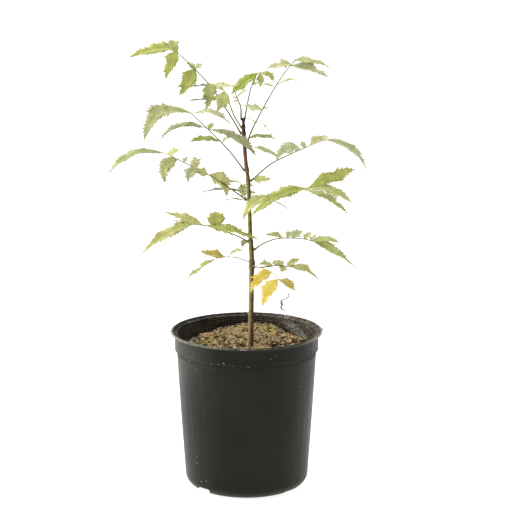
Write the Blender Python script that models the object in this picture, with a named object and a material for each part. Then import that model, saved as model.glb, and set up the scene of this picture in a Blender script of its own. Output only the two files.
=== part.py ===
"""A young curry leaf plant with toothed leaflets, growing in a black nursery pot.

Metres, +Z up. The origin is at the centre of the pot's base on the floor, and -Y is the front.
"""

import math
from collections import namedtuple

import bpy
from mathutils import Vector, noise

MM = 0.001

# Pot: a thin blow-moulded shell with an outward lip, a plain band and a tapered, faintly
# bellied wall.
POT_HEIGHT = 178.5
RIM_RADIUS = 84.4
RIM_THICKNESS = 2.0
RIM_ROUND = 0.5
LIP_INNER_RADIUS = 79.6
LIP_DEPTH = 5.0
BAND_RADIUS = 80.1
BAND_FOOT_HEIGHT = 158.5
WALL_TOP_RADIUS = 77.6
WALL_TOP_HEIGHT = 153.0
WALL_BELLY = 0.3
WALL_STEPS = 4
WALL_FOOT_RADIUS = 68.7
BASE_CORNER = 15.0
BASE_CORNER_STEPS = 4
BASE_RADIUS = 50.0
INNER_CORNER_INSET = 5.0
INNER_CORNER_HEIGHT = 6.0
WALL = 1.6
POT_SIDES = 40
DRAIN_ANGLES = (-140.0, -40.0, 40.0, 140.0)
DRAIN_WIDTH = 11.0
DRAIN_HEIGHT = 9.0
DRAIN_INNER_RADIUS = 53.0

# Soil: a packed fill whose crumbly top rises toward the back and sinks beside the wall.
SOIL_GAP = 0.5
SOIL_EDGE_HEIGHT = 156.0
SOIL_TOP_HEIGHT = 163.6
SOIL_RISE = 0.042
MOUND_CENTRE_Y = 8.0
MOUND_STRETCH = 1.25
MOUND_REACH = (50.0, 68.0)
# Broad dips in the soil: x, y, half width, half depth, drop (a heap where the drop is negative).
SOIL_DIPS = (
    (-40.0, 48.0, 26.0, 30.0, 5.0),
    (50.0, 40.0, 12.0, 26.0, 4.0),
    (60.0, -28.0, 13.0, 22.0, 4.5),
    (26.0, 56.0, 14.0, 16.0, -2.0),
)
SOIL_ROUGHNESS = 2.2
LUMP_SIZES = (9.0, 4.0)
SOIL_RINGS = 8
SOIL_RIM_INSET = 1.6
SOIL_BASE_INSET = 4.0
SOIL_CORNER_INSET = 8.0
SOIL_CORNER_HEIGHT = 7.5
HOLE_DEPTH = 50.0
HOLE_CLEARANCE = 0.5

# Stem: centre line knots (x, y, z, radius), from the soil to the growing tip.
STEM_KNOTS = (
    (4.2, -15.0, 161.0, 3.0),
    (4.9, -14.5, 188.0, 2.95),
    (5.2, -14.0, 216.0, 2.75),
    (5.8, -13.0, 255.0, 2.6),
    (5.4, -12.5, 272.0, 2.45),
    (4.2, -12.0, 289.0, 2.15),
    (3.2, -11.0, 322.0, 2.0),
    (1.8, -10.0, 350.0, 1.95),
    (-0.9, -9.0, 372.0, 1.95),
    (-2.9, -8.0, 402.0, 1.9),
    (-3.2, -8.0, 417.0, 1.1),
)
STEM_SIDES = 12
STEM_RINGS_PER_KNOT = 2
SCAR_SWELL = 0.3
SCAR_REACH = 5.0

# Fronds: a thin round stalk with toothed leaflets.
STALK_RADIUS = 0.75
STALK_TIP_RADIUS = 0.5
STALK_SIDES = 5
STALK_STEPS = 7
STALK_GAP = 1.0
LAST_PLACE = 0.985

# Leaflet: a blade folded along its midrib, with forward-leaning teeth between two plain ends. One
# half is broader than the other. Leaflets under SMALL_LEAFLET long have no teeth.
BLADE_THICKNESS = 0.7
BLADE_STALK = 1.3
BLADE_TIP = 0.8
BROAD_SIDE = 0.56
FOLD = 0.16
SMALL_LEAFLET = 14.0
SMALL_STATIONS = (0.0, 0.15, 0.4, 0.7, 1.0)
BLADE_NECK = 0.06
BLADE_NOSE = 0.9
TEETH_START = 0.13
TEETH_END = 0.84
TOOTH_PITCH = 12.0
MOST_TEETH = 5
TOOTH_DEPTH = 0.17
TOOTH_LEAN = 0.74

# Mesh joins and shading.
UNION_SOLVER = "MANIFOLD"
POT_CREASE = 30.0
SOFT_CREASE = 50.0

# Base colours, linear.
PLASTIC_BLACK = (0.02, 0.021, 0.02)
SOIL_BROWN = (0.16, 0.1, 0.05)
BARK_BROWN = (0.2, 0.13, 0.07)
LEAF_GREEN = (0.4, 0.5, 0.12)
LEAF_YELLOW = (0.8, 0.6, 0.08)

# Withered leaflet on the yellow frond: (x, y, z, radius) from the end of the frond's stalk. It runs
# back and down as a dry stalk, then hangs as a thin curled roll.
WITHERED_FROND = "frond_yellow"
WITHERED_KNOTS = (
    (0.0, 0.0, 0.0, 0.55),
    (6.0, 4.0, -6.0, 0.5),
    (10.5, 5.0, -13.0, 0.45),
    (10.5, 5.0, -18.0, 0.45),
    (7.0, 5.0, -21.5, 0.45),
    (3.4, 5.0, -23.0, 0.9),
    (3.2, 5.0, -28.0, 1.1),
    (3.0, 5.0, -32.0, 0.9),
    (5.0, 5.0, -34.5, 0.45),
    (7.5, 5.0, -35.5, 0.4),
)

# One frond: height of its root on the stem, azimuth, (out, up) knots of its stalk, its leaflets.
# One leaflet: place along the stalk 0-1; dx, dy, dz from its root to its tip; width; tilt of its
# upper face from straight up toward the front, degrees; arch of the midrib off its own face and bow
# within it, as shares of its length; the share of its length where it is broadest. All lengths are
# millimetres.
Frond = namedtuple("Frond", "name root azimuth stalk leaflets")
FRONDS = (
    Frond("frond_top_left", 401, 158,
          [(18, 22), (42, 53), (78, 85), (85, 91)], [
        (1.00, -46, -4, -10, 10, 45, 0.04, 0.06, 0.34),
        (0.93, -9, 6, 13, 12, 80, 0.05, 0.00, 0.50),
        (0.94, -12, -12, -30, 14.5, 78, 0.06, 0.08, 0.28),
        (0.70, -10, 8, 8, 6, 30, 0.08, 0.00, 0.40),
        (0.70, 8, 8, 6, 6, 35, 0.08, 0.00, 0.40),
        (0.70, -16, -8, -26, 14.5, 72, 0.05, -0.02, 0.30),
        (0.54, -1, -9, -26, 12.5, 75, 0.05, 0.12, 0.32),
        (0.52, 34, -3, -0, 10, 14, -0.05, 0.00, 0.45),
        (0.51, -26, 6, -3, 8, -4, 0.02, 0.00, 0.40),
        (0.35, -36, -4, -1, 8, -4, 0.03, 0.00, 0.40),
    ]),
    Frond("frond_inner_left", 408, 215,
          [(12, 13), (20, 31), (26, 43)], [
        (0.97, -5, -8, -17, 11.5, 66, 0.06, 0.15, 0.36),
        (1.00, -9, 3, 4, 5, 30, 0.10, 0.00, 0.40),
    ]),
    Frond("frond_top", 417, 55,
          [(8, 17), (14, 32), (25, 46), (33, 47)], [
        (0.91, -31, -6, -23, 9, 50, 0.06, 0.06, 0.45),
        (0.99, -0, -6, -16, 7, 78, 0.05, 0.00, 0.40),
        (1.00, 16, 3, -13, 9, 26, 0.20, 0.05, 0.40),
        (0.62, 10, 6, 2, 6, 20, 0.10, 0.00, 0.40),
    ]),
    Frond("shoot_tip", 417, 185,
          [(3, 13), (6, 21), (9, 29)], [
        (0.79, -6, -3, 1, 3, 30, 0.05, 0.00, 0.40),
        (0.70, -7, 3, -3, 3, 30, 0.05, 0.00, 0.40),
        (0.82, 14, 3, 9, 4, 25, 0.10, 0.00, 0.40),
        (1.00, -3, 0, 7, 3, 40, 0.05, 0.00, 0.40),
    ]),
    Frond("frond_top_right", 391, -20,
          [(9, 15), (25, 45), (44, 76), (59, 94)], [
        (1.00, 47, -4, -12, 11, 18, 0.10, 0.04, 0.26),
        (0.91, 40, -10, -10, 11, 24, 0.08, 0.02, 0.34),
        (0.87, -24, -6, -1, 9, 22, 0.12, 0.00, 0.38),
        (0.66, 26, 6, 4, 9, -5, 0.14, 0.00, 0.60),
        (0.64, -14, -6, 4, 7, 14, 0.08, 0.00, 0.40),
        (0.37, -32, -5, 12, 9, 18, 0.03, 0.00, 0.24),
        (0.39, 7, 5, 0, 5, 10, 0.05, 0.00, 0.40),
        (0.22, -11, -6, 7, 5, 5, 0.10, 0.00, 0.40),
        (0.23, 14, 5, -13, 6, -4, 0.18, 0.00, 0.40),
        (0.05, 31, -6, -1, 9, 18, 0.12, 0.00, 0.38),
    ]),
    Frond("frond_upper_left", 361, 200,
          [(20, 22), (43, 46), (65, 67)], [
        (1.00, -51, -6, -32, 13, 54, 0.07, 0.22, 0.58),
        (0.97, -53, 14, -7, 8, -8, 0.14, 0.00, 0.40),
        (0.97, 42, -4, -12, 9.5, 20, 0.20, 0.00, 0.62),
        (0.70, -56, 8, -19, 11, 8, 0.19, 0.00, 0.45),
        (0.68, 52, -8, -27, 12, 40, 0.17, 0.04, 0.62),
        (0.68, 5, 6, 7, 5, 50, 0.05, 0.00, 0.50),
        (0.47, -35, -5, 0, 9, 24, 0.12, 0.00, 0.50),
        (0.44, 14, 6, 6, 6, 2, 0.15, 0.00, 0.40),
    ]),
    Frond("frond_mid_right", 349, 15,
          [(25, 17), (47, 27), (70, 36), (87, 42)], [
        (0.05, 18, -8, 3, 10, 55, 0.05, -0.10, 0.45),
        (0.69, -26, -10, -10, 12.5, 66, 0.06, 0.20, 0.40),
        (0.43, -31, -6, 14, 9, 22, 0.08, 0.00, 0.70),
        (0.75, -4, 6, 6, 7, 50, 0.05, 0.00, 0.50),
        (0.82, 16, 6, 9, 9, 48, 0.08, 0.05, 0.40),
        (0.95, 9, -5, 6, 7, 45, 0.05, 0.00, 0.40),
        (1.00, 46, -4, -34, 8, 44, 0.10, 0.15, 0.50),
    ]),
    Frond("frond_mid_left", 328, 165,
          [(22, 12), (45, 25), (67, 35), (94, 47)], [
        (1.00, -66, -5, -23, 11, 24, 0.19, 0.05, 0.56),
        (0.99, 9, -16, 12, 10, 56, 0.05, 0.00, 0.50),
        (0.86, -12, -8, -26, 14, 70, 0.05, 0.24, 0.31),
        (0.63, -12, -8, -10, 12, 62, 0.15, 0.20, 0.40),
        (0.68, 2, 8, 10, 11, 74, 0.05, 0.00, 0.50),
        (0.79, 4, 8, 5, 5, 40, 0.05, 0.00, 0.40),
        (0.49, -15, -8, 4, 11, 60, 0.10, 0.05, 0.50),
        (0.48, 19, -6, -24, 14, 66, 0.05, 0.17, 0.33),
    ]),
    Frond("frond_back_left", 323, 100,
          [(26, 3), (42, 8), (55, 13)], [
        (0.66, -52, 6, -3, 9, -6, 0.07, 0.00, 0.40),
        (0.16, -29, 4, -1, 7, -4, 0.10, 0.00, 0.40),
        (0.98, -15, 6, 2, 6, -4, 0.10, 0.00, 0.40),
        (0.53, 13, 4, 2, 7, 20, 0.10, 0.00, 0.40),
        (0.90, 16, 4, -2, 7, 10, 0.10, 0.00, 0.40),
        (1.00, 2, -7, -14, 9, 60, 0.10, 0.00, 0.40),
    ]),
    Frond("frond_front_right", 329, -45,
          [(20, 5), (55, 15), (90, 24)], [
        (0.98, -60, -10, -29, 12, 52, 0.07, 0.09, 0.58),
        (0.31, -28, -8, -27, 10, 38, 0.12, 0.10, 0.42),
        (0.22, 31, 8, -18, 7, -6, 0.03, 0.00, 0.50),
        (1.00, 48, 4, 20, 12.5, 70, 0.03, 0.03, 0.60),
        (1.00, 46, -6, -15, 11, 24, 0.12, 0.02, 0.50),
        (0.86, 50, -14, -25, 9, 16, 0.10, 0.02, 0.42),
    ]),
    Frond("frond_low_left", 282, 195,
          [(16, 7), (35, 15), (51, 20), (67, 23)], [
        (0.76, 60, -6, -15, 12, 24, 0.05, 0.00, 0.32),
        (0.60, 1, 13, 15, 19, 76, 0.10, 0.00, 0.50),
        (0.81, -44, 6, 13, 10.5, 30, 0.05, 0.00, 0.31),
        (0.92, -30, 12, 1, 8, 4, 0.05, 0.00, 0.40),
        (1.00, -53, -6, -33, 11, 52, 0.05, 0.07, 0.42),
        (0.25, -8, 5, -3, 5, 4, 0.10, 0.00, 0.40),
        (0.07, -2, -5, -8, 6, 60, 0.10, 0.00, 0.40),
    ]),
    Frond("frond_bottom_left", 259, 155,
          [(19, 3), (35, 2), (43, -0)], [
        (0.71, -28, -4, 7, 10, 34, 0.02, -0.02, 0.42),
        (0.65, 19, -7, 9, 7, 18, 0.12, 0.00, 0.50),
        (1.00, -34, -3, -25, 8, 10, 0.04, 0.03, 0.45),
    ]),
    Frond("frond_low_right", 273, -15,
          [(15, 8), (32, 14), (55, 15), (70, 13)], [
        (0.52, -21, -7, 4, 9, 28, 0.14, 0.00, 0.40),
        (0.58, 6, 8, 6, 7, 34, 0.05, 0.00, 0.40),
        (0.66, 12, 8, 6, 9, 44, 0.08, 0.00, 0.40),
        (0.85, 9, 6, 6, 7, 44, 0.08, 0.00, 0.40),
        (0.95, 8, 8, 4, 6, 40, 0.08, 0.00, 0.40),
        (1.00, 31, 8, -5, 9, 26, 0.12, 0.00, 0.40),
        (1.00, 45, -5, -29, 7.5, 48, 0.03, 0.05, 0.40),
    ]),
    Frond("frond_bottom_right", 253, 35,
          [(14, -2), (38, -3), (49, -6)], [
        (0.55, -17, -6, 3, 7, 28, 0.12, 0.00, 0.45),
        (0.70, 6, 8, 4, 7, 40, 0.05, 0.00, 0.40),
        (0.67, -4, 6, 5, 7, 45, 0.05, 0.00, 0.40),
        (0.89, -3, -5, -6, 9, 62, 0.05, 0.00, 0.40),
        (0.98, 15, 8, 7, 9, 44, 0.06, 0.06, 0.50),
        (1.00, 34, -3, -15, 8.5, 40, 0.10, 0.08, 0.42),
    ]),
    Frond("frond_yellow", 255, -60,
          [(22, 1), (39, 1), (54, -2), (59, -5)], [
        (0.70, -23, -8, -22, 10.5, 62, 0.08, 0.12, 0.40),
        (0.98, -18, -8, -29, 12.5, 72, 0.05, 0.08, 0.45),
        (0.99, 19, -2, -13, 9, 42, 0.13, 0.00, 0.45),
    ]),
)


def clear_scene():
    for obj in list(bpy.data.objects):
        bpy.data.objects.remove(obj, do_unlink=True)


def material(name, colour, roughness):
    made = bpy.data.materials.new(name)
    made.use_nodes = True
    shader = made.node_tree.nodes["Principled BSDF"]
    shader.inputs["Base Color"].default_value = (*colour, 1.0)
    shader.inputs["Roughness"].default_value = roughness
    return made


def mesh_object(name, points, faces, surface=None):
    """An object from millimetre points."""
    mesh = bpy.data.meshes.new(name)
    mesh.from_pydata([[MM * c for c in p] for p in points], [], faces)
    mesh.update()
    obj = bpy.data.objects.new(name, mesh)
    bpy.context.scene.collection.objects.link(obj)
    if surface:
        mesh.materials.append(surface)
    return obj


def lathe(profile, sides):
    """Points and faces of a closed (radius, height) outline turned about Z; radius 0 is a pole."""
    points, rows = [], []
    for radius, height in profile:
        if radius == 0:
            rows.append([len(points)] * sides)
            points.append((0.0, 0.0, height))
            continue
        rows.append(range(len(points), len(points) + sides))
        for i in range(sides):
            turn = math.tau * i / sides
            points.append((radius * math.cos(turn), radius * math.sin(turn), height))
    faces = []
    for lower, upper in zip(rows, rows[1:]):
        for i in range(sides):
            j = (i + 1) % sides
            corners = (lower[i], lower[j], upper[j], upper[i])
            faces.append(tuple(dict.fromkeys(corners)))
    return points, faces


def shade_round(obj, crease):
    """Smooth shading with edges over the crease angle left sharp."""
    obj.data.shade_smooth()
    obj.data.set_sharp_from_angle(angle=math.radians(crease))


def apply_boolean(obj, operation, solver, cutter=None, collection=None):
    cut = obj.modifiers.new(operation.title(), "BOOLEAN")
    cut.operation = operation
    cut.solver = solver
    if collection:
        cut.operand_type = "COLLECTION"
        cut.collection = collection
    else:
        cut.object = cutter
    graph = bpy.context.evaluated_depsgraph_get()
    solid = bpy.data.meshes.new_from_object(obj.evaluated_get(graph))
    obj.modifiers.remove(cut)
    obj.data = solid


def corner_arc(steps):
    """The outer curve from the base up to the foot of the wall."""
    arc = []
    for i in range(steps + 1):
        turn = math.radians(90.0 * i / steps)
        radius = BASE_RADIUS + (WALL_FOOT_RADIUS - BASE_RADIUS) * math.sin(turn)
        arc.append((radius, BASE_CORNER * (1.0 - math.cos(turn))))
    return arc


def wall_radius(height):
    """Outer radius of the pot above its base corner."""
    if height >= BAND_FOOT_HEIGHT:
        return BAND_RADIUS
    if height >= WALL_TOP_HEIGHT:
        share = (height - WALL_TOP_HEIGHT) / (BAND_FOOT_HEIGHT - WALL_TOP_HEIGHT)
        return WALL_TOP_RADIUS + (BAND_RADIUS - WALL_TOP_RADIUS) * share
    share = (height - BASE_CORNER) / (WALL_TOP_HEIGHT - BASE_CORNER)
    taper = WALL_FOOT_RADIUS + (WALL_TOP_RADIUS - WALL_FOOT_RADIUS) * share
    return taper + WALL_BELLY * math.sin(math.pi * share)


def wall_heights():
    step = (WALL_TOP_HEIGHT - BASE_CORNER) / WALL_STEPS
    return [BASE_CORNER + step * i for i in range(1, WALL_STEPS + 1)]


def build_pot(surface):
    outside = corner_arc(BASE_CORNER_STEPS)
    outside += [(wall_radius(height), height) for height in wall_heights()]
    outside += [
        (BAND_RADIUS, BAND_FOOT_HEIGHT),
        (BAND_RADIUS, POT_HEIGHT - LIP_DEPTH),
        (BAND_RADIUS + 1.0, POT_HEIGHT - RIM_THICKNESS - RIM_ROUND),
        (RIM_RADIUS, POT_HEIGHT - RIM_THICKNESS),
        (RIM_RADIUS, POT_HEIGHT - RIM_ROUND),
        (RIM_RADIUS - RIM_ROUND, POT_HEIGHT),
    ]
    inside = [(LIP_INNER_RADIUS, POT_HEIGHT), (BAND_RADIUS - WALL, POT_HEIGHT - LIP_DEPTH)]
    inside.append((BAND_RADIUS - WALL, BAND_FOOT_HEIGHT))
    for height in reversed([BASE_CORNER] + wall_heights()):
        inside.append((wall_radius(height) - WALL, height))
    inside.append((WALL_FOOT_RADIUS - INNER_CORNER_INSET, INNER_CORNER_HEIGHT))
    inside.append((BASE_RADIUS - 1.0, WALL))
    points, faces = lathe([(0, 0)] + outside + inside + [(0, WALL)], POT_SIDES)
    pot = mesh_object("pot", points, faces, surface)
    for i, angle in enumerate(DRAIN_ANGLES):
        cut_drain(pot, f"drain_cutter_{i}", math.radians(angle))
    shade_round(pot, POT_CREASE)
    return pot


def cut_drain(pot, name, angle):
    """Cuts one slot through the curve where the wall meets the base."""
    inner, outer = DRAIN_INNER_RADIUS, WALL_FOOT_RADIUS + 4.0
    half = DRAIN_WIDTH / 2
    points = []
    for height in (-1.0, DRAIN_HEIGHT):
        for out, side in ((inner, -half), (outer, -half), (outer, half), (inner, half)):
            x = out * math.cos(angle) - side * math.sin(angle)
            y = out * math.sin(angle) + side * math.cos(angle)
            points.append((x, y, height))
    faces = [(3, 2, 1, 0), (4, 5, 6, 7), (0, 1, 5, 4), (1, 2, 6, 5), (2, 3, 7, 6), (3, 0, 4, 7)]
    cutter = mesh_object(name, points, faces)
    apply_boolean(pot, "DIFFERENCE", "EXACT", cutter=cutter)
    bpy.data.objects.remove(cutter, do_unlink=True)


def soil_top(x, y):
    """Height of the soil: a broad mound that rises to the back, slack by the wall, and crumbly."""
    reach = math.hypot(x, (y - MOUND_CENTRE_Y) / MOUND_STRETCH)
    near, far = MOUND_REACH
    fade = min(1.0, max(0.0, (reach - near) / (far - near)))
    fade = fade * fade * (3.0 - 2.0 * fade)
    top = SOIL_TOP_HEIGHT + SOIL_RISE * (y - STEM_KNOTS[0][1])
    large, small = LUMP_SIZES
    crumbs = noise.noise(Vector((x, y, 0.0)) / large) + 0.5 * noise.noise(Vector((x, y, 5.0)) / small)
    for dip_x, dip_y, half_x, half_y, drop in SOIL_DIPS:
        top -= drop * math.exp(-(((x - dip_x) / half_x) ** 2) - ((y - dip_y) / half_y) ** 2)
    return top + (SOIL_EDGE_HEIGHT - top) * fade + SOIL_ROUGHNESS * crumbs


def build_soil(surface):
    foot = WALL + SOIL_GAP
    side = [(BASE_RADIUS - SOIL_BASE_INSET, foot)]
    side.append((WALL_FOOT_RADIUS - SOIL_CORNER_INSET, SOIL_CORNER_HEIGHT))
    for height in [BASE_CORNER + 1.0] + wall_heights()[:-1] + [WALL_TOP_HEIGHT - 1.0]:
        side.append((wall_radius(height) - WALL - SOIL_GAP, height))
    edge = wall_radius(SOIL_EDGE_HEIGHT) - WALL - SOIL_GAP - SOIL_RIM_INSET
    top = [(edge * (SOIL_RINGS - i) / SOIL_RINGS, SOIL_EDGE_HEIGHT) for i in range(SOIL_RINGS)]
    profile = [(0, foot)] + side + top + [(0, SOIL_EDGE_HEIGHT)]
    points, faces = lathe(profile, POT_SIDES)
    first_top = 1 + POT_SIDES * len(side)
    for i in range(first_top, len(points)):
        x, y, _ = points[i]
        points[i] = (x, y, soil_top(x, y))
    soil = mesh_object("soil", points, faces, surface)
    x, y, _, radius = STEM_KNOTS[0]
    bottom = SOIL_EDGE_HEIGHT - HOLE_DEPTH
    spread = radius + HOLE_CLEARANCE
    ring = [(0, bottom), (spread, bottom), (spread, POT_HEIGHT), (0, POT_HEIGHT)]
    points, faces = lathe(ring, STEM_SIDES)
    cutter = mesh_object("hole_cutter", [(x + p[0], y + p[1], p[2]) for p in points], faces)
    apply_boolean(soil, "DIFFERENCE", "EXACT", cutter=cutter)
    bpy.data.objects.remove(cutter, do_unlink=True)
    shade_round(soil, SOFT_CREASE)
    return soil


def smooth_path(knots, steps):
    """Catmull-Rom curve through the knots, with the given steps between each two."""
    knots = [Vector(k) for k in knots]
    ends = [2 * knots[0] - knots[1]] + knots + [2 * knots[-1] - knots[-2]]
    path = []
    for a, b, c, d in zip(ends, ends[1:], ends[2:], ends[3:]):
        for i in range(steps):
            t = i / steps
            path.append(
                0.5 * (2 * b + (c - a) * t + (2 * a - 5 * b + 4 * c - d) * t**2
                       + (3 * b - 3 * c + d - a) * t**3)
            )
    path.append(knots[-1])
    return path


def tube(path, radii, sides):
    """Points and faces of a closed round rod along the path."""
    points, faces = [], []
    along = (path[1] - path[0]).normalized()
    across = along.orthogonal().normalized()
    for i, (centre, radius) in enumerate(zip(path, radii)):
        ahead = path[min(i + 1, len(path) - 1)] - path[max(i - 1, 0)]
        along = ahead.normalized()
        across = (across - along * across.dot(along)).normalized()
        up = along.cross(across)
        for k in range(sides):
            turn = math.tau * k / sides
            points.append(centre + radius * (math.cos(turn) * across + math.sin(turn) * up))
    for i in range(len(path) - 1):
        for k in range(sides):
            a, b = i * sides + k, i * sides + (k + 1) % sides
            faces.append((a, b, b + sides, a + sides))
    faces.append(tuple(reversed(range(sides))))
    last = (len(path) - 1) * sides
    faces.append(tuple(range(last, last + sides)))
    return points, faces


def stem_path():
    path = smooth_path([k[:3] for k in STEM_KNOTS], STEM_RINGS_PER_KNOT)
    radii = [p[0] for p in smooth_path([(k[3], 0, 0) for k in STEM_KNOTS], STEM_RINGS_PER_KNOT)]
    return path, radii


def stem_at(height):
    """Centre and radius of the stem at a height."""
    for low, high in zip(STEM_KNOTS, STEM_KNOTS[1:]):
        if height <= high[2]:
            break
    share = min(1.0, (height - low[2]) / (high[2] - low[2]))
    mixed = [a + (b - a) * share for a, b in zip(low, high)]
    return Vector((mixed[0], mixed[1], height)), mixed[3]


def build_stem(surface):
    path, radii = stem_path()
    roots = [frond.root for frond in FRONDS]
    for i, point in enumerate(path):
        if any(abs(point.z - root) < SCAR_REACH for root in roots):
            radii[i] += SCAR_SWELL
    x, y, _, radius = STEM_KNOTS[0]
    ends = (SOIL_EDGE_HEIGHT - HOLE_DEPTH + SOIL_GAP, SOIL_EDGE_HEIGHT - SCAR_REACH)
    below = [Vector((x, y, height)) for height in ends]
    points, faces = tube(below + path, [radius, radius] + radii, STEM_SIDES)
    stem = mesh_object("stem", points, faces, surface)
    shade_round(stem, SOFT_CREASE)
    return stem


def blade_width(t, broadest):
    """Outline of a leaflet, 0-1: broadest at the given share, with a long drawn-out tip."""
    return math.sin(math.pi * t ** (math.log(0.5) / math.log(broadest))) ** 1.15


def blade_stations(length):
    """(place along 0-1, tooth factor) pairs from the root of a leaflet to its tip."""
    if length < SMALL_LEAFLET:
        return [(place, 1.0) for place in SMALL_STATIONS]
    teeth = max(2, min(MOST_TEETH, round(length / TOOTH_PITCH)))
    pitch = (TEETH_END - TEETH_START) / teeth
    stations = [(0.0, 1.0), (BLADE_NECK, 1.0), (TEETH_START, 1.0 - TOOTH_DEPTH)]
    for i in range(teeth):
        stations.append((TEETH_START + pitch * (i + TOOTH_LEAN), 1.0 + TOOTH_DEPTH))
        if i < teeth - 1:
            stations.append((TEETH_START + pitch * (i + 1.0), 1.0 - TOOTH_DEPTH))
    return stations + [(BLADE_NOSE, 1.0), (1.0, 1.0)]


def leaflet(root, reach, width, tilt, arch, bow, broadest):
    """Points and faces of one toothed blade from its root to root + reach."""
    length = reach.length
    along = reach / length
    tilt = math.radians(tilt)
    face = Vector((0.0, -math.sin(tilt), math.cos(tilt)))
    face = (face - along * face.dot(along)).normalized()
    side = face.cross(along)
    if side.dot(Vector((0.3, 0.2, 1.0))) < 0:
        side = -side
    points = []
    for t, tooth in blade_stations(length):
        bulge = 4.0 * t * (1.0 - t) * length
        centre = root + reach * t + face * (arch * bulge) + side * (bow * bulge)
        half = 0.5 * width * blade_width(t, broadest) * tooth
        half = max(half, 0.5 * (BLADE_STALK if t < 0.5 else BLADE_TIP))
        slope = 4.0 * (1.0 - 2.0 * t) * bow
        across = (side - along * slope).normalized()
        outer = 2.0 * half * BROAD_SIDE
        inner = 2.0 * half * (1.0 - BROAD_SIDE)
        up = 0.5 * BLADE_THICKNESS * face
        rise = FOLD * face
        broad, narrow = (across + rise) * outer, (rise - across) * inner
        rim = (centre + broad, centre, centre + narrow)
        points += [p + up for p in rim] + [p - up for p in rim]
    faces = []
    count = len(points) // 6
    turned = side.dot(face.cross(along)) < 0
    for i in range(count - 1):
        a, b = 6 * i, 6 * i + 6
        for k in (0, 1):
            faces.append((a + k, a + k + 1, b + k + 1))
            faces.append((a + k, b + k + 1, b + k))
            faces.append((a + 3 + k, b + 4 + k, a + 4 + k))
            faces.append((a + 3 + k, b + 3 + k, b + 4 + k))
        faces.append((a, b, b + 3, a + 3))
        faces.append((a + 2, a + 5, b + 5, b + 2))
    last = 6 * (count - 1)
    faces.append((0, 3, 4, 5, 2, 1))
    faces.append(tuple(last + k for k in (0, 1, 2, 5, 4, 3)))
    if turned:
        faces = [tuple(reversed(f)) for f in faces]
    return points, faces


def stalk_path(frond):
    centre, radius = stem_at(frond.root)
    turn = math.radians(frond.azimuth)
    out = Vector((math.cos(turn), math.sin(turn), 0.0))
    knots = [(radius + SCAR_SWELL + STALK_GAP, 0.0)] + list(frond.stalk)
    ends = [centre + out * a + Vector((0.0, 0.0, b)) for a, b in knots]
    return resample(smooth_path(ends, 6), STALK_STEPS)


def resample(path, steps):
    """The same curve as equal steps."""
    lengths = [0.0]
    for a, b in zip(path, path[1:]):
        lengths.append(lengths[-1] + (b - a).length)
    return [point_along(path, lengths, i / steps) for i in range(steps + 1)]


def point_along(path, lengths, share):
    wanted = share * lengths[-1]
    for i in range(len(path) - 1):
        if wanted <= lengths[i + 1] or i == len(path) - 2:
            part = (wanted - lengths[i]) / (lengths[i + 1] - lengths[i])
            return path[i].lerp(path[i + 1], min(1.0, part))
    return path[-1]


def along_stalk(path, share):
    """Point of an equally stepped path at a share of its length."""
    place = share * (len(path) - 1)
    i = min(int(place), len(path) - 2)
    return path[i].lerp(path[i + 1], place - i)


def build_withered(name, start, surface):
    """The dry, crooked leaflet that hangs from the end of the yellow frond's stalk."""
    path = smooth_path([start + Vector(k[:3]) for k in WITHERED_KNOTS], 2)
    radii = [p[0] for p in smooth_path([(k[3], 0, 0) for k in WITHERED_KNOTS], 2)]
    points, faces = tube(path, radii, STALK_SIDES)
    return mesh_object(name, points, faces, surface)


def build_frond(frond, surface):
    path = stalk_path(frond)
    count = len(path) - 1
    radii = [STALK_RADIUS + (STALK_TIP_RADIUS - STALK_RADIUS) * i / count for i in range(count + 1)]
    points, faces = tube(path, radii, STALK_SIDES)
    stalk = mesh_object(frond.name, points, faces, surface)
    blades = bpy.data.collections.new(frond.name + "_blades")
    bpy.context.scene.collection.children.link(blades)
    for i, row in enumerate(frond.leaflets):
        at, dx, dy, dz, width, tilt, arch, bow, broadest = row
        root = along_stalk(path, min(at, LAST_PLACE))
        points, faces = leaflet(root, Vector((dx, dy, dz)), width, tilt, arch, bow, broadest)
        blade = mesh_object(f"{frond.name}_blade_{i}", points, faces, surface)
        bpy.context.scene.collection.objects.unlink(blade)
        blades.objects.link(blade)
    if frond.name == WITHERED_FROND:
        withered = build_withered(frond.name + "_withered", path[-1], surface)
        bpy.context.scene.collection.objects.unlink(withered)
        blades.objects.link(withered)
    apply_boolean(stalk, "UNION", UNION_SOLVER, collection=blades)
    for blade in list(blades.objects):
        bpy.data.objects.remove(blade, do_unlink=True)
    bpy.data.collections.remove(blades)
    return stalk


clear_scene()
build_pot(material("black_plastic", PLASTIC_BLACK, 0.45))
build_soil(material("potting_mix", SOIL_BROWN, 0.95))
build_stem(material("bark", BARK_BROWN, 0.8))
for each in FRONDS:
    tint = LEAF_YELLOW if each.name == WITHERED_FROND else LEAF_GREEN
    build_frond(each, material(each.name + "_leaf", tint, 0.6))
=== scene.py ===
"""Curry leaf plant in its nursery pot: the fine surface and the look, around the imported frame."""
import math
import random
from collections import namedtuple

import bmesh
import bpy
import numpy as np
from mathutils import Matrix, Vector, noise


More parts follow.
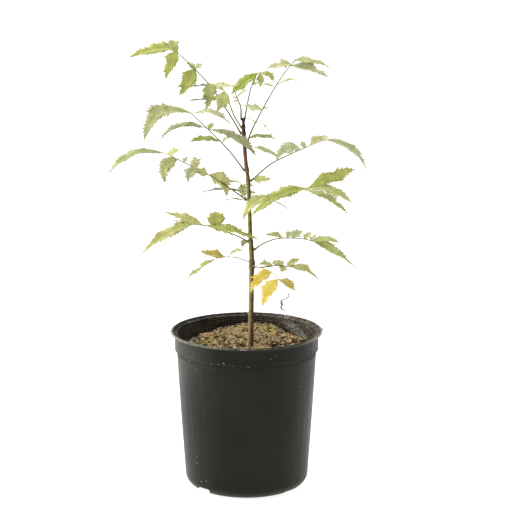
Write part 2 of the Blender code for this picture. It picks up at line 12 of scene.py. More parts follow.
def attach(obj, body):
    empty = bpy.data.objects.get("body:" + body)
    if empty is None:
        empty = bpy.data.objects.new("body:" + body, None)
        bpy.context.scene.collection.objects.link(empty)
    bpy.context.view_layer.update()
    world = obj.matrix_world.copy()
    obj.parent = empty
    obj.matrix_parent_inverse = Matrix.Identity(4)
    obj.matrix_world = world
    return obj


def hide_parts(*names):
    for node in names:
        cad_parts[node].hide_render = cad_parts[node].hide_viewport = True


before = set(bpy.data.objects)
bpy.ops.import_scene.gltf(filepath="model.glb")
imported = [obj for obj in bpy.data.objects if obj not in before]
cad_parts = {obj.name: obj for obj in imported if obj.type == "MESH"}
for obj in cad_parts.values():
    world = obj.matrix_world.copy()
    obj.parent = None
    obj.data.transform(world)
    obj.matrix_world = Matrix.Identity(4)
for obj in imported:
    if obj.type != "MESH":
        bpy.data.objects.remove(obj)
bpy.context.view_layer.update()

MM = 0.001


def srgb(red, green, blue):
    """Linear colour of 0-255 display values."""
    made = []
    for value in (red, green, blue):
        v = value / 255
        made.append(v / 12.92 if v <= 0.04045 else ((v + 0.055) / 1.055) ** 2.4)
    return tuple(made)


# ---------------- pot, in millimetres
POT_HEIGHT = 178.5
RIM_RADIUS = 84.4
LIP_INNER_RADIUS = 79.6
# Height and outer radius of the wall's foot, of its top and of the band's foot, and how much it bulges.
WALL_HEIGHTS = (15, 153, 158.5)
WALL_RADII = (68.7, 77.6, 80.1)
WALL_BELLY = 0.3
BASE_RADIUS = 50
WALL = 1.6
# From the wall's top over the ledge, the band and the rolled lip to the inside: radius, height.
LIP_OUTLINE = (
    (77.5, 154.2), (78, 154.8), (79.8, 157.5), (80.15, 158.3), (80, 159.3), (80.1, 173.5), (81, 175.2),
    (83.4, 175.9), (84.4, 176.6), (84.4, 177.7), (83.6, 178.5), (82.7, 178.2), (80.5, 176.6), (78.9, 176.1),
)
# How much the corners of that outline are rounded, and the least angle that stays sharp.
OUTLINE_ROUND = 0.5
SHARP_ANGLE = 42
# Fine rings inside the flare: height, pitch, points of the outline and their step.
RING_HEIGHT = 1.1
RING_PITCH = 2.3
RINGED_POINTS = 84
RINGED_STEP = 0.26
# Drains at the foot: angle about Z, and centre and size of the box that cuts one. The front ones run back
# under the base.
DRAINS = (
    (40, (62.85, 0, 4), (19.7, 11, 10)),
    (140, (62.85, 0, 4), (19.7, 11, 10)),
    (0, (-47, -38, 0), (12.5, 60, 18)),
    (0, (47.5, -40, 0), (12, 50, 9)),
)
DRAIN_ROUND = 2.4
POT_SIDES = 200
POT_GLOSS = 0.16
POT_BLACK = srgb(18, 19, 6)
POT_DUSTY = srgb(27, 29, 16)
POT_SPECK = srgb(170, 168, 158)
# Painted sheen: the upper left of the wall is painted paler, where the light from the left falls.
LEFT_SHEEN = srgb(56, 56, 51)
LIP_DUST = srgb(146, 144, 130)
# Pale lines where the band steps in: height in metres, strength. The upper one is dust on the ledge, the
# lower one is painted light that lifts the shade in the crease at the foot of the slope.
LEDGES = ((0.1584, 0.4), (0.1531, 0.22))
LEDGE_DUST_AND_LIGHT = srgb(84, 84, 76)
INSIDE_BLACK = srgb(18, 16, 13)
INSIDE_PURPLE = srgb(42, 30, 32)
RING_HIGHLIGHT = srgb(102, 97, 86)
# Painted highlight on the upper side of each ring inside the flare.
INSIDE_DUST = srgb(124, 111, 99)
CHALK = srgb(198, 198, 186)
MUD = srgb(128, 112, 96)
INSIDE_SPECK = srgb(206, 198, 180)

# ---------------- soil, in millimetres
SOIL_FOOT_HEIGHT = 2.3
SOIL_EDGE_HEIGHT = 156
SOIL_TOP_HEIGHT = 163.6
# The mound's rise from front to back, and where it fades into the edge: centre, stretch in y, reach.
SOIL_RISE = 0.042
MOUND_CENTRE_Y = 8
MOUND_STRETCH = 1.25
MOUND_REACH = (50, 68)
# Broad dips in the soil: x, y, half width, half depth, drop (a heap where the drop is negative).
SOIL_DIPS = ((-40, 48, 26, 30, 5), (50, 40, 12, 26, 4), (60, -28, 13, 22, 4.5), (26, 56, 14, 16, -2))
# Soil heaped beside the wall: x, y, half width, half depth, rise.
EDGE_HEAPS = ((-64, 4, 13, 34, 3.2), (62, 2, 16, 34, 5), (-40, 40, 20, 20, 1.6))
# Moss patches: x, y, reach.
MOSS_PATCHES = ((-42, 0, 12), (26, 44, 9), (-8, -54, 8), (-32, 26, 7))
# Hollows, sunk and with painted shade on the loose pieces in them: x, y, half width, half depth.
HOLLOWS = ((-4, -12, 4.5, 9), (-19, -24, 3, 6), (-27, 8, 3, 6), (-9, 22, 3, 5))
HOLLOW_DEPTH = 3
# A gap between the soil and the wall at the front right, sunk and with painted shade on its loose pieces:
# where it starts in x and how far it takes to deepen, how far its middle lies behind the rim's front edge,
# and its half width.
GAP_START = 22
GAP_GROWTH = 8
GAP_BACK = 68
GAP_HALF = 9
# The bed's colours by its grain, bare and mossy, and what its light and dark places multiply them by:
# partly its own flecks and partly painted light and shade on its lumps.
SOIL_BARE = (
    (0.3, srgb(50, 36, 22)), (0.44, srgb(120, 98, 68)),
    (0.56, srgb(182, 158, 118)), (0.72, srgb(222, 204, 164)),
)
SOIL_GREEN = ((0.3, srgb(56, 48, 22)), (0.5, srgb(136, 124, 66)), (0.74, srgb(186, 174, 106)))
SOIL_FLECK_AND_SHADE = ((0, (0.1, 0.1, 0.09)), (0.5, (1, 1, 1)), (1, (1.7, 1.7, 1.7)))
# Sides and rings of the bed's mesh.
SOIL_SIDES = 230
SOIL_RINGS = 76
# Loose pieces: how many, how far out they lie, and sizes of crumbs. Some crumbs beside the wall are larger.
CRUMBS = 8800
CRUMB_REACH = 73
CRUMB_SIZES = (0.3, 0.36, 0.45, 0.6, 0.85)
LARGE_CRUMBS_FROM = 66
LARGE_CRUMB = 1.6
CHIPS = 420
FIBRES = 620
CHIP_REACH = 71
WALL_GRAINS = 1100
# What loose pieces keep clear of, where the stem stands: x, y, radius.
STEM_PLACE = (4, -15, 4.2)
# Pale clods: x, y, radius.
CLODS = ((51, 22, 2.2), (48, 19, 1.6), (-49, 3, 2.2), (-45, -2, 1.8), (30, 12, 1.2))
# Tones of loose pieces, as display values.
CLOD_TONE = (244, 212, 168)
SOIL_TONES = (
    (224, 206, 174), (206, 185, 150), (178, 157, 121), (132, 111, 82),
    (64, 50, 32), (244, 231, 206), (186, 170, 130),
)
# Painted shade: tones of loose pieces down in the hollows and in the gap beside the wall.
SHADE_TONES = ((60, 40, 24), (44, 30, 18), (96, 72, 46))
MOSS_TONES = ((168, 160, 88), (146, 138, 70), (190, 182, 112), (106, 98, 48))
# Grey, for the slack soil beside the left wall.
SLACK_TONES = ((150, 142, 126), (112, 104, 90), (74, 68, 56), (190, 180, 156))
GRAIN_TONES = ((186, 180, 166), (150, 138, 120), (96, 82, 70), (70, 58, 54), (236, 234, 226))
PALE_GRAIN = 4
TONE_SPREAD = 0.2
# The brightest that a loose piece gets, as linear red.
BRIGHTEST = 0.86
# Dust grains stuck on the outside of the pot: angle, height, size.
OUTSIDE_GRAINS = (
    (-137.5, 161, 0.55), (-142, 156, 0.5), (-127, 156.5, 0.5), (-118.5, 157, 0.55), (-117.5, 166.5, 0.45),
    (-108, 160, 0.5), (-88.5, 156.5, 0.4), (-135, 147.5, 0.35), (-117, 151, 0.3), (-70.5, 164.5, 0.45),
    (-66, 168, 0.35), (-41.5, 163, 0.5), (-141, 44.5, 0.6), (-141.5, 37, 0.5), (-136.5, 17, 0.5),
    (-130.5, 19, 0.5), (-39.5, 127, 0.35), (-107.5, 159, 0.35), (-112, 158.5, 0.4), (-103, 159.2, 0.35),
)
# Mud flecks on the lip: angle, radius, height, size, tone.
LIP_FLECKS = (
    (1, 84.6, 178.8, 1.3, 0), (4, 83.8, 179, 1, 4), (-4, 84.2, 178.4, 0.8, 0), (8, 83.4, 178.8, 0.7, 1),
    (179, 84.6, 176.6, 1, 3), (175, 84, 178.9, 0.8, 4), (168, 83.6, 178.8, 0.7, 0),
    (184, 84.2, 178.4, 0.7, 0), (14, 83.2, 178.7, 0.7, 4), (22, 83, 178.7, 0.6, 0),
    (63, 82.8, 178.6, 0.8, 3), (71, 82.4, 178.5, 0.7, 3), (100, 82.8, 178.5, 0.5, 4),
    (52, 82.6, 178.6, 0.6, 1), (36, 83, 178.6, 0.8, 2), (30, 83.2, 178.7, 0.6, 4),
)

# ---------------- plant, in millimetres
# Stem centre line: x, y, z, radius.
STEM_KNOTS = (
    (4.2, -15, 161, 3),
    (4.9, -14.5, 188, 2.95),
    (5.2, -14, 216, 2.94),
    (5.8, -13, 255, 2.78),
    (5.4, -12.5, 272, 2.62),
    (4.2, -12, 289, 2.3),
    (3.2, -11, 322, 2.14),
    (1.8, -10, 350, 2.09),
    (-0.9, -9, 372, 2.09),
    (-2.9, -8, 402, 2.03),
    (-3.2, -8, 417, 1.18),
)
# Heights of the two points that carry the stem down into the soil.
STEM_FOOT = (107, 152)
STEM_SIDES = 28
STEM_SCARS = 9
# The direction of the stem's side that is painted lighter, as if lit from the left; the other side is painted
# shade.
STEM_LIT_SIDE = np.array([-0.94, -0.34])
# Bark from the soil to the tip, on its painted lit side and on its painted shaded side: share of the height,
# colour.
BARK_LIT = (
    (0, srgb(196, 168, 122)), (0.28, srgb(186, 162, 118)), (0.34, srgb(160, 152, 92)),
    (0.5, srgb(158, 154, 88)), (0.62, srgb(164, 164, 90)), (0.73, srgb(152, 146, 80)),
    (0.83, srgb(164, 118, 90)), (0.93, srgb(120, 84, 78)), (1, srgb(84, 58, 58)),
)
BARK_SHADED = (
    (0, srgb(106, 82, 54)), (0.28, srgb(96, 76, 50)), (0.34, srgb(68, 62, 24)), (0.62, srgb(78, 76, 24)),
    (0.76, srgb(78, 66, 30)), (0.84, srgb(90, 58, 42)), (0.93, srgb(58, 36, 36)), (1, srgb(44, 28, 30)),
)
BARK_SPOT = srgb(188, 168, 132)

# Fronds as in the solids: root height, azimuth, stalk knots (out, up) and leaflets. A leaflet's row says
# where on the stalk it grows, how far it reaches, its width, tilt and tone, how far it arches and bows as
# shares of its length, where it is broadest and how fast it narrows from there.
Frond = namedtuple("Frond", "name root azimuth stalk leaflets")
USUAL_TAPER = 1.1
USUAL = (0.05, 0, 0.4, USUAL_TAPER)
Leaflet = namedtuple("Leaflet", "place dx dy dz width tilt tone arch bow broadest taper", defaults=USUAL)
FRONDS = (
    Frond("frond_top_left", 401, 158, [(18, 22), (42, 53), (78, 85), (85, 91)], [
        (1, -50, -4, -11, 12, 45, "b", 0.04, 0.05, 0.26), (0.93, -9, 6, 13, 12, 80, "f", 0.05, 0, 0.5),
        (0.94, -12, -12, -30, 12, 78, "b", 0.06, 0.02, 0.28), (0.7, -10, 8, 8, 6, 30, "p", 0.08),
        (0.7, 8, 8, 6, 6, 35, "p", 0.08), (0.71, -18, -8, -29, 14, 72, "b", 0.05, -0.04, 0.27),
        (0.54, -3, -9, -29, 13, 75, "f", 0.05, 0.1, 0.27), (0.52, 34, -3, 0, 10, 14, "p", -0.05, 0, 0.45),
        (0.51, -26, 6, -3, 8, -4, "d", 0.02), (0.35, -36, -4, -1, 8, -4, "d", 0.03),
    ]),
    Frond("frond_inner_left", 408, 215, [(12, 13), (20, 31), (26, 43)], [
        (0.97, -8, -8, -20, 14, 66, "f", 0.06, -0.1, 0.32), (1, -9, 3, 4, 5, 30, "f", 0.1),
    ]),
    Frond("frond_top", 417, 55, [(8, 17), (14, 32), (25, 46), (33, 47)], [
        (0.91, -31, -6, -24, 10.5, 50, "s", 0.02, 0.02, 0.42), (0.99, 0, -6, -16, 7, 78, "f"),
        (1, 16, 3, -13, 9, 26, "b", 0.2, 0.05), (0.62, 10, 6, 2, 6, 20, "p", 0.1),
    ]),
    Frond("shoot_tip", 417, 185, [(3, 13), (6, 21), (9, 29)], [
        (0.79, -6, -3, 1, 3, 30, "g"), (0.7, -7, 3, -3, 3, 30, "g"), (0.82, 14, 3, 9, 4, 25, "p", 0.1),
        (1, -3, 0, 7, 3, 40, "f"),
    ]),
    Frond("frond_top_right", 391, -20, [(9, 15), (25, 45), (44, 76), (59, 94)], [
        (1, 47, -4, -14, 10.5, 24, "g", 0.1, 0.04, 0.22, 2.6),
        (0.91, 42, -15, -11, 10.5, 30, "p", 0.08, 0.02, 0.34),
        (0.93, -31, -6, -6, 10.5, 36, "p", 0.1, 0, 0.31, 2), (0.66, 26, 6, 4, 9, -5, "g", 0.14, 0, 0.6),
        (0.64, -14, -6, 4, 7, 14, "g", 0.08), (0.37, -29, -5, 8, 9.5, 34, "p", 0.03, 0, 0.28, 3),
        (0.39, 7, 5, 0, 5, 10, "g"), (0.22, -11, -6, 7, 5, 5, "g", 0.1),
        (0.23, 14, 5, -13, 6, -4, "p", 0.18), (0.05, 31, -6, -1, 9, 18, "o", 0.12, 0, 0.38),
    ]),
    Frond("frond_upper_left", 361, 200, [(20, 22), (43, 46), (65, 67)], [
        (1, -51, -6, -32, 12.5, 54, "n", 0.07, 0.3, 0.55),
        (0.97, -53, 14, -7, 8, -8, "g", 0.14, 0, 0.4, 1.6), (0.97, 42, -4, -12, 9.5, 20, "p", 0.2, 0, 0.62),
        (0.7, -56, 8, -19, 11, 8, "m", 0.19, 0, 0.45), (0.68, 52, -8, -28, 9.5, 36, "h", 0.14, 0.04, 0.66),
        (0.68, 5, 6, 7, 5, 50, "f", 0.05, 0, 0.5), (0.47, -35, -5, 0, 9, 24, "s", 0.12, 0, 0.5),
        (0.44, 14, 6, 6, 6, 2, "g", 0.15),
    ]),
    Frond("frond_mid_right", 349, 15, [(25, 17), (47, 27), (70, 36), (87, 42)], [
        (0.03, 20, -8, 2, 8.5, 52, "f", 0.05, -0.06, 0.45),
        (0.69, -27, -10, -12, 11.5, 66, "p", 0.06, 0.24, 0.32),
        (0.43, -31, -6, 14, 8.5, 22, "p", 0.08, 0, 0.62), (0.75, -5, 6, 6, 6, 50, "p", 0.05, 0, 0.45),
        (0.82, 16, 6, 9, 9, 48, "p", 0.08, 0.05), (0.95, 9, -5, 6, 7, 45, "p"),
        (1, 49, -4, -37, 7.5, 44, "p", 0.1, 0.15, 0.46, 1.3),
    ]),
    Frond("frond_mid_left", 328, 165, [(22, 12), (45, 25), (67, 35), (94, 47)], [
        (1, -67, -5, -23, 10, 24, "m", 0.19, 0.05, 0.65), (0.99, 13, -10, 7, 8, 56, "g", 0.05, 0, 0.45),
        (0.86, -12, -8, -26, 13, 70, "g", 0.05, 0.32, 0.33),
        (0.62, -10, -8, -14, 10.5, 62, "p", 0.12, 0.2, 0.36),
        (0.64, -1, 8, 12, 11.5, 74, "p", 0.05, -0.08, 0.52), (0.79, 4, 8, 5, 5, 40, "p"),
        (0.49, -15, -8, 4, 9.5, 60, "g", 0.1, 0.05, 0.5),
        (0.48, 19, -6, -24, 13, 66, "n", 0.05, 0.22, 0.33),
    ]),
    Frond("frond_back_left", 323, 100, [(26, 3), (42, 8), (55, 13)], [
        (0.66, -52, 6, -3, 9, -6, "d", 0.07), (0.16, -29, 4, -1, 7, -4, "d", 0.1),
        (0.98, -15, 6, 2, 6, -4, "p", 0.1), (0.53, 13, 4, 2, 7, 20, "t", 0.1),
        (0.9, 16, 4, -2, 7, 10, "t", 0.1), (1, 2, -7, -14, 9, 60, "p", 0.1),
    ]),
    Frond("frond_front_right", 329, -45, [(20, 5), (55, 15), (90, 24)], [
        (0.98, -60, -10, -29, 12, 52, "b", 0.07, 0.09, 0.52),
        (0.31, -28, -8, -27, 10, 38, "f", 0.12, 0.1, 0.42), (0.22, 31, 8, -18, 7, -6, "d", 0.03, 0, 0.5),
        (1, 52, 4, 20, 12, 70, "b", 0.03, 0.03, 0.58), (1, 49, -6, -16, 11, 24, "f", 0.12, 0.02, 0.5),
        (0.86, 53, -14, -27, 9, 16, "g", 0.1, 0.02, 0.42),
    ]),
    Frond("frond_low_left", 282, 195, [(16, 7), (35, 15), (51, 20), (67, 23)], [
        (0.76, 60, -6, -15, 12, 24, "b", 0.05, 0, 0.32), (0.6, 1, 13, 16, 17, 76, "b", 0.1, 0, 0.5),
        (0.81, -46, 6, 14, 10.5, 32, "f", 0.05, 0, 0.28, 1.6), (0.92, -30, 12, 1, 8, 4, "p"),
        (1, -57, -6, -35, 12, 52, "f", 0.05, 0.07, 0.3, 1.5), (0.25, -8, 5, -3, 5, 4, "p", 0.1),
        (0.07, -2, -5, -8, 6, 60, "o", 0.1),
    ]),
    Frond("frond_bottom_left", 259, 155, [(19, 3), (35, 2), (43, 0)], [
        (0.71, -28, -4, 7, 10, 34, "a", 0.02, -0.02, 0.42, 0.9),
        (0.65, 19, -7, 9, 7, 18, "g", 0.12, 0, 0.5), (1, -37, -3, -27, 7, 10, "o", 0.04, 0.03, 0.42),
    ]),
    Frond("frond_low_right", 273, -15, [(15, 8), (32, 14), (55, 15), (70, 13)], [
        (0.52, -21, -7, 4, 9, 28, "f", 0.14), (0.58, 6, 8, 6, 7, 34, "p"),
        (0.66, 12, 8, 6, 9, 44, "p", 0.08), (0.85, 9, 6, 6, 7, 44, "p", 0.08),
        (0.95, 8, 8, 4, 6, 40, "p", 0.08), (1, 31, 8, -5, 9, 26, "f", 0.12),
        (1, 49, -5, -31, 9, 48, "f", 0.03, 0.05, 0.3, 1.5),
    ]),
    Frond("frond_bottom_right", 253, 35, [(14, -2), (38, -3), (49, -6)], [
        (0.55, -17, -6, 3, 7, 28, "g", 0.12, 0, 0.45), (0.7, 6, 8, 4, 7, 40, "g"),
        (0.67, -4, 6, 5, 7, 45, "g"), (0.89, -3, -5, -6, 9, 62, "g"),
        (0.98, 15, 8, 7, 7, 44, "g", 0.06, 0.06, 0.42), (1, 37, -3, -17, 8, 40, "g", 0.1, 0.1, 0.34, 1.5),
    ]),
    Frond("frond_yellow", 255, -60, [(22, 1), (39, 1), (54, -2), (59, -5)], [
        (0.7, -23, -8, -22, 10.5, 62, "y", 0.08, 0.14, 0.26),
        (0.98, -18, -8, -29, 12.5, 72, "y", 0.05, 0.08, 0.45),
        (0.99, 19, -2, -13, 9, 42, "w", 0.13, 0, 0.45),
    ]),
)
# Leaf tones by the letter in a leaflet's row, as display values. Some hold light or shade: d is painted shade
# for leaflets seen from below, m is darker with painted shade, and n is paler with painted light.
TONES = {
    "s": (184, 192, 92), "n": (197, 194, 138), "m": (163, 169, 116), "h": (172, 171, 130),
    "d": (132, 132, 94), "b": (182, 186, 98), "f": (194, 195, 126), "p": (204, 204, 160),
    "g": (194, 194, 136), "o": (170, 171, 102), "y": (244, 218, 100), "w": (200, 188, 104),
    "a": (204, 186, 104), "t": (186, 180, 132),
}
# The half width that a drawn-out tip, of more than the usual taper, and another tip keep.
THREAD = 0.34
THIN_TIP = 0.12
# Large teeth, as on the solids: where they start and end along the blade, pitch, most of them, depth as a
# share of the width, and the length below which a leaflet has none.
TEETH_START = 0.13
TEETH_END = 0.84
TOOTH_PITCH = 12
MOST_TEETH = 5
TOOTH_DEPTH = 0.17
SMALL_LEAFLET = 14
# How much of the large teeth shows beside the small ones.
LOBE_SHARE = 0.4
# Small teeth: start and end, pitch, most of them, depth as a share of the width, and the share that is long.
FINE_START = 0.08
FINE_END = 0.93
FINE_PITCH = 2.6
MOST_FINE_TEETH = 18
FINE_DEPTH = 0.18
LONG_TOOTH_SHARE = 0.22
# Blade: width against the table's, slope of the halves, share of the broader half, thickness.
PLUMP = 1.06
FOLD = 0.26
BROAD_SIDE = 0.56
BLADE = 0.32
# Where the blade's points lie across it, from edge to edge, and the least rows along it.
ACROSS = (-1, -0.74, -0.45, -0.17, 0, 0.17, 0.45, 0.74, 1)
BLADE_ROWS = 25
# Material numbers of a frond's faces.
TOP_FACE, UNDER_FACE, STALK_FACE = range(3)

# Blades: vein on top, vein underneath, whether the underside is greyer and duller than the top, and what
# the patches of painted light and painted shade multiply the tone by.
BLADES = {
    "leaf": (srgb(206, 212, 140), srgb(200, 204, 150), True, (1.28, 1.24, 1.34), (0.84, 0.88, 0.74)),
    "yellow": (srgb(250, 232, 130), srgb(250, 232, 150), False, (1.04, 1.06, 1.5), (0.96, 0.86, 0.6)),
}
TIP_DRY = srgb(112, 104, 84)
UNDERSIDE = srgb(172, 174, 128)

# Stalks: colour at the stem, colour from the middle on, radius at the stem, swelling there.
STALK_GREEN = srgb(124, 126, 60)
YELLOW_STALK = srgb(196, 174, 132)
PLAIN_STALK = (srgb(100, 86, 50), STALK_GREEN, 0.8, 0.75)
ODD_STALKS = {
    "shoot_tip": (srgb(74, 52, 50), STALK_GREEN, 0.95, 0.75),
    "frond_bottom_left": (srgb(138, 128, 92), STALK_GREEN, 0.5, 0.3),
    "frond_yellow": (YELLOW_STALK, YELLOW_STALK, 0.5, 0.3),
}
STALK_TIP_RADIUS = 0.5
STALK_STEPS = 36
STALK_SIDES = 10
# The last place on a stalk where a leaflet joins it.
LAST_PLACE = 0.985

# Withered leaflet of the yellow frond: offset from the stalk's end, radius.
WITHERED_KNOTS = (
    (0, 2, -0.5, 0.3),
    (5, 3, -4.2, 0.16),
    (8.9, 3, -8.4, 0.14),
    (10.2, 3, -14.4, 0.16),
    (10.4, 2, -16, 0.42),
    (10.7, 2, -18.4, 0.45),
    (8.2, 2, -20.6, 0.45),
    (4.2, 2, -22.6, 0.5),
    (2.6, 2, -23.4, 0.9),
    (3, 2, -26.3, 1.25),
    (3.3, 2, -28.5, 1),
    (2.3, 2, -31.2, 1),
    (3.9, 2, -33, 0.65),
    (7.2, 2, -34.2, 0.35),
)
WITHERED_STEPS = 6
# Its colours, and the path steps at which the second and the third start.
WITHERED_TONES = (YELLOW_STALK, srgb(76, 66, 60), srgb(172, 130, 106))
WITHERED_STARTS = (19, 43)

# ---------------- studio, in metres
# The world's brightness behind the camera, behind the plant, overhead and, as a factor, at the right.
WORLD_FRONT = 0.15
WORLD_BACK = 0.8
WORLD_TOP = 0.7
WORLD_RIGHT = 0.45
# Soft boxes: name, place, size, radiance.
SOFT_BOXES = (
    ("left", (-1.3, 0, 0.45), (1, 0.8), 4),
    ("right", (1.5, 0.1, 0.45), (0.8, 0.7), 0.1),
    ("overhead", (-0.3, 0.2, 2), (1.4, 1.4), 2),
)
LIT_POINT = (0, 0, 0.25)
# Half the floor's side, and how far it lies under the pot.
FLOOR_HALF = 9
FLOOR_DROP = 0.0002
FLOOR_GLOW = 0.9
CAMERA_PLACE = (0.0105, -2.5, 0.81)
CAMERA_LENS = 162.63
# Degrees below the horizontal.
CAMERA_PITCH = 12.35


# ---------------- helpers
def added(name, data):
    """A new object in the scene."""
    obj = bpy.data.objects.new(name, data)
    bpy.context.scene.collection.objects.link(obj)
    return obj


def new_object(name, points, faces, materials, smooth=True, colours=None, uvs=None, indices=None):
    """A mesh object from millimetre points, with colours per vertex and uvs per vertex."""
    mesh = bpy.data.meshes.new(name)
    points = np.asarray(points, float) * MM
    mesh.from_pydata(points.tolist(), [], [list(f) for f in faces])
    mesh.update()
    if colours is not None:
        layer = mesh.color_attributes.new("tone", "FLOAT_COLOR", "POINT")
        layer.data.foreach_set("color", np.asarray(colours, np.float32).reshape(-1))
    if uvs is not None:
        layer = mesh.uv_layers.new(name="leaf")
        loops = np.empty(len(mesh.loops), np.int32)
        mesh.loops.foreach_get("vertex_index", loops)
        layer.data.foreach_set("uv", np.asarray(uvs, np.float32)[loops].reshape(-1))
    for material in materials:
        mesh.materials.append(material)
    if indices is not None:
        mesh.polygons.foreach_set("material_index", np.asarray(indices, np.int32))
    if smooth:
        mesh.shade_smooth()
    return added(name, mesh)


def settle(obj, slot, *nodes):
    """Rides the piece on the plant's body and hides the nodes that it stands for; slot is not used."""
    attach(obj, "root")
    if nodes:
        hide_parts(*nodes)


class Gather:
    """Collects meshes that go into one object."""

    def __init__(self):
        self.points, self.faces, self.colours, self.uvs, self.indices = [], [], [], [], []

    def add(self, points, faces, colours, uvs=None, indices=None):
        """Takes one colour for all the points or a list with one for each."""
        base = len(self.points)
        self.points.extend(points)
        self.faces.extend(tuple(base + v for v in f) for f in faces)
        self.colours.extend(colours if isinstance(colours, list) else [colours] * len(points))
        self.uvs.extend(uvs or [(0.5, 0.5)] * len(points))
        self.indices.extend(indices or [0] * len(faces))

    def add_stalk(self, line, radii, colours, shape=None):
        """A rod with a colour for each point of its line."""
        points, faces = tube(line, radii, STALK_SIDES, shape)
        colours = [(*colour, 1) for colour in colours for _ in range(STALK_SIDES)]
        self.add(points, faces, colours, indices=[STALK_FACE] * len(faces))


def unit(v):
    return v / max(np.linalg.norm(v), 1e-9)


def polar(radius, turn, z):
    return np.array([radius * math.cos(turn), radius * math.sin(turn), z])


def clamped(value, low=0, high=1):
    return min(high, max(low, value))


def bumps(x, y, z, size=1):
    """Smooth noise from -1 to 1, in bumps of a size."""
    return noise.noise(Vector((x, y, z)) / size)


def bell(x):
    """1 at 0, and almost nothing from 2 on."""
    return math.exp(-(x**2))


def hill(x, y, middle_x, middle_y, half_x, half_y):
    return bell((x - middle_x) / half_x) * bell((y - middle_y) / half_y)


def smooth_path(knots, steps):
    """Catmull-Rom curve through the knots."""
    knots = [np.array(k, float) for k in knots]
    ends = [2 * knots[0] - knots[1]] + knots + [2 * knots[-1] - knots[-2]]
    path = []
    for a, b, c, d in zip(ends, ends[1:], ends[2:], ends[3:]):
        square, cube = 2 * a - 5 * b + 4 * c - d, 3 * b - 3 * c + d - a
        for i in range(steps):
            t = i / steps
            path.append(0.5 * (2 * b + (c - a) * t + square * t**2 + cube * t**3))
    path.append(knots[-1])
    return path


def resample(path, steps):
    """The same path in equal steps."""
    path = np.array(path)
    lengths = np.concatenate([[0], np.cumsum(np.linalg.norm(np.diff(path, axis=0), axis=1))])
    at = np.linspace(0, lengths[-1], steps + 1)
    return np.stack([np.interp(at, lengths, path[:, k]) for k in range(3)], axis=1)


def rod_faces(count, sides):
    """Faces of a closed rod of this many rings of points."""
    faces = []
    for i in range(count - 1):
        for k in range(sides):
            a, b = i * sides + k, i * sides + (k + 1) % sides
            faces.append((a, b, b + sides, a + sides))
    last = (count - 1) * sides
    return faces + [tuple(reversed(range(sides))), tuple(range(last, last + sides))]


def tube(path, radii, sides, shape=None):
    """Points and faces of a closed rod. shape(i, angle) scales the radius."""
    path = np.array(path)
    points = []
    along = unit(path[1] - path[0])
    across = unit(np.cross(along, (0.3, 1, 0.2)))
    for i, centre in enumerate(path):
        along = unit(path[min(i + 1, len(path) - 1)] - path[max(i - 1, 0)])
        across = unit(across - along * across.dot(along))
        up = np.cross(along, across)
        for k in range(sides):
            turn = math.tau * k / sides
            radius = radii[i] * (shape(i, turn) if shape else 1)
            points.append(centre + radius * (math.cos(turn) * across + math.sin(turn) * up))
    return points, rod_faces(len(path), sides)


# ---------------- materials
class Wire:
    """One output of a node. Arithmetic on it adds Math nodes."""

    def __init__(self, nodes, socket):
        self.nodes, self.socket = nodes, socket

    def __add__(self, other):
        return self.nodes.math("ADD", self, other)

    def __sub__(self, other):
        return self.nodes.math("SUBTRACT", self, other)

    def __rsub__(self, other):
        return self.nodes.math("SUBTRACT", other, self)

    def __mul__(self, other):
        return self.nodes.math("MULTIPLY", self, other)

    def __abs__(self):
        return self.nodes.math("ABSOLUTE", self)


class Nodes:
    """Builds a node tree."""

    def __init__(self, tree):
        self.tree = tree

    def feed(self, socket, value):
        """Links a wire to a socket, or sets the socket's own value."""
        if isinstance(value, Wire):
            self.tree.links.new(value.socket, socket)
        elif socket.type == "RGBA":
            socket.default_value = (*value, 1)
        else:
            socket.default_value = value

    def node(self, kind, output, *inputs, **settings):
        """Adds a node with its inputs, as (socket, value), and gives one of its outputs."""
        made = self.tree.nodes.new("ShaderNode" + kind)
        for name, value in settings.items():
            setattr(made, name, value)
        for key, value in inputs:
            self.feed(made.inputs[key], value)
        return Wire(self, made.outputs[output])

    def split(self, vector):
        x = self.node("SeparateXYZ", "X", (0, vector))
        return [Wire(self, output) for output in x.socket.node.outputs]

    def math(self, operation, first, second=0):
        return self.node("Math", 0, (0, first), (1, second), operation=operation)

    def band(self, value, low, high, start=0, end=1, curve="LINEAR"):
        """Runs from start to end while the value runs from low to high."""
        limits = zip(("From Min", "From Max", "To Min", "To Max"), (low, high, start, end))
        return self.node("MapRange", "Result", ("Value", value), *limits, interpolation_type=curve)

    def ramp(self, value, *stops):
        made = self.node("ValToRGB", "Color", ("Fac", value))
        elements = made.socket.node.color_ramp.elements
        while len(elements) < len(stops):
            elements.new(0.5)
        for element, (place, colour) in zip(elements, stops):
            element.position = place
            element.color = (*colour, 1)
        return made

    def mix(self, factor, first, second, blend="MIX"):
        sockets = ((0, factor), (6, first), (7, second))
        return self.node("Mix", 2, *sockets, data_type="RGBA", blend_type=blend, clamp_factor=True)


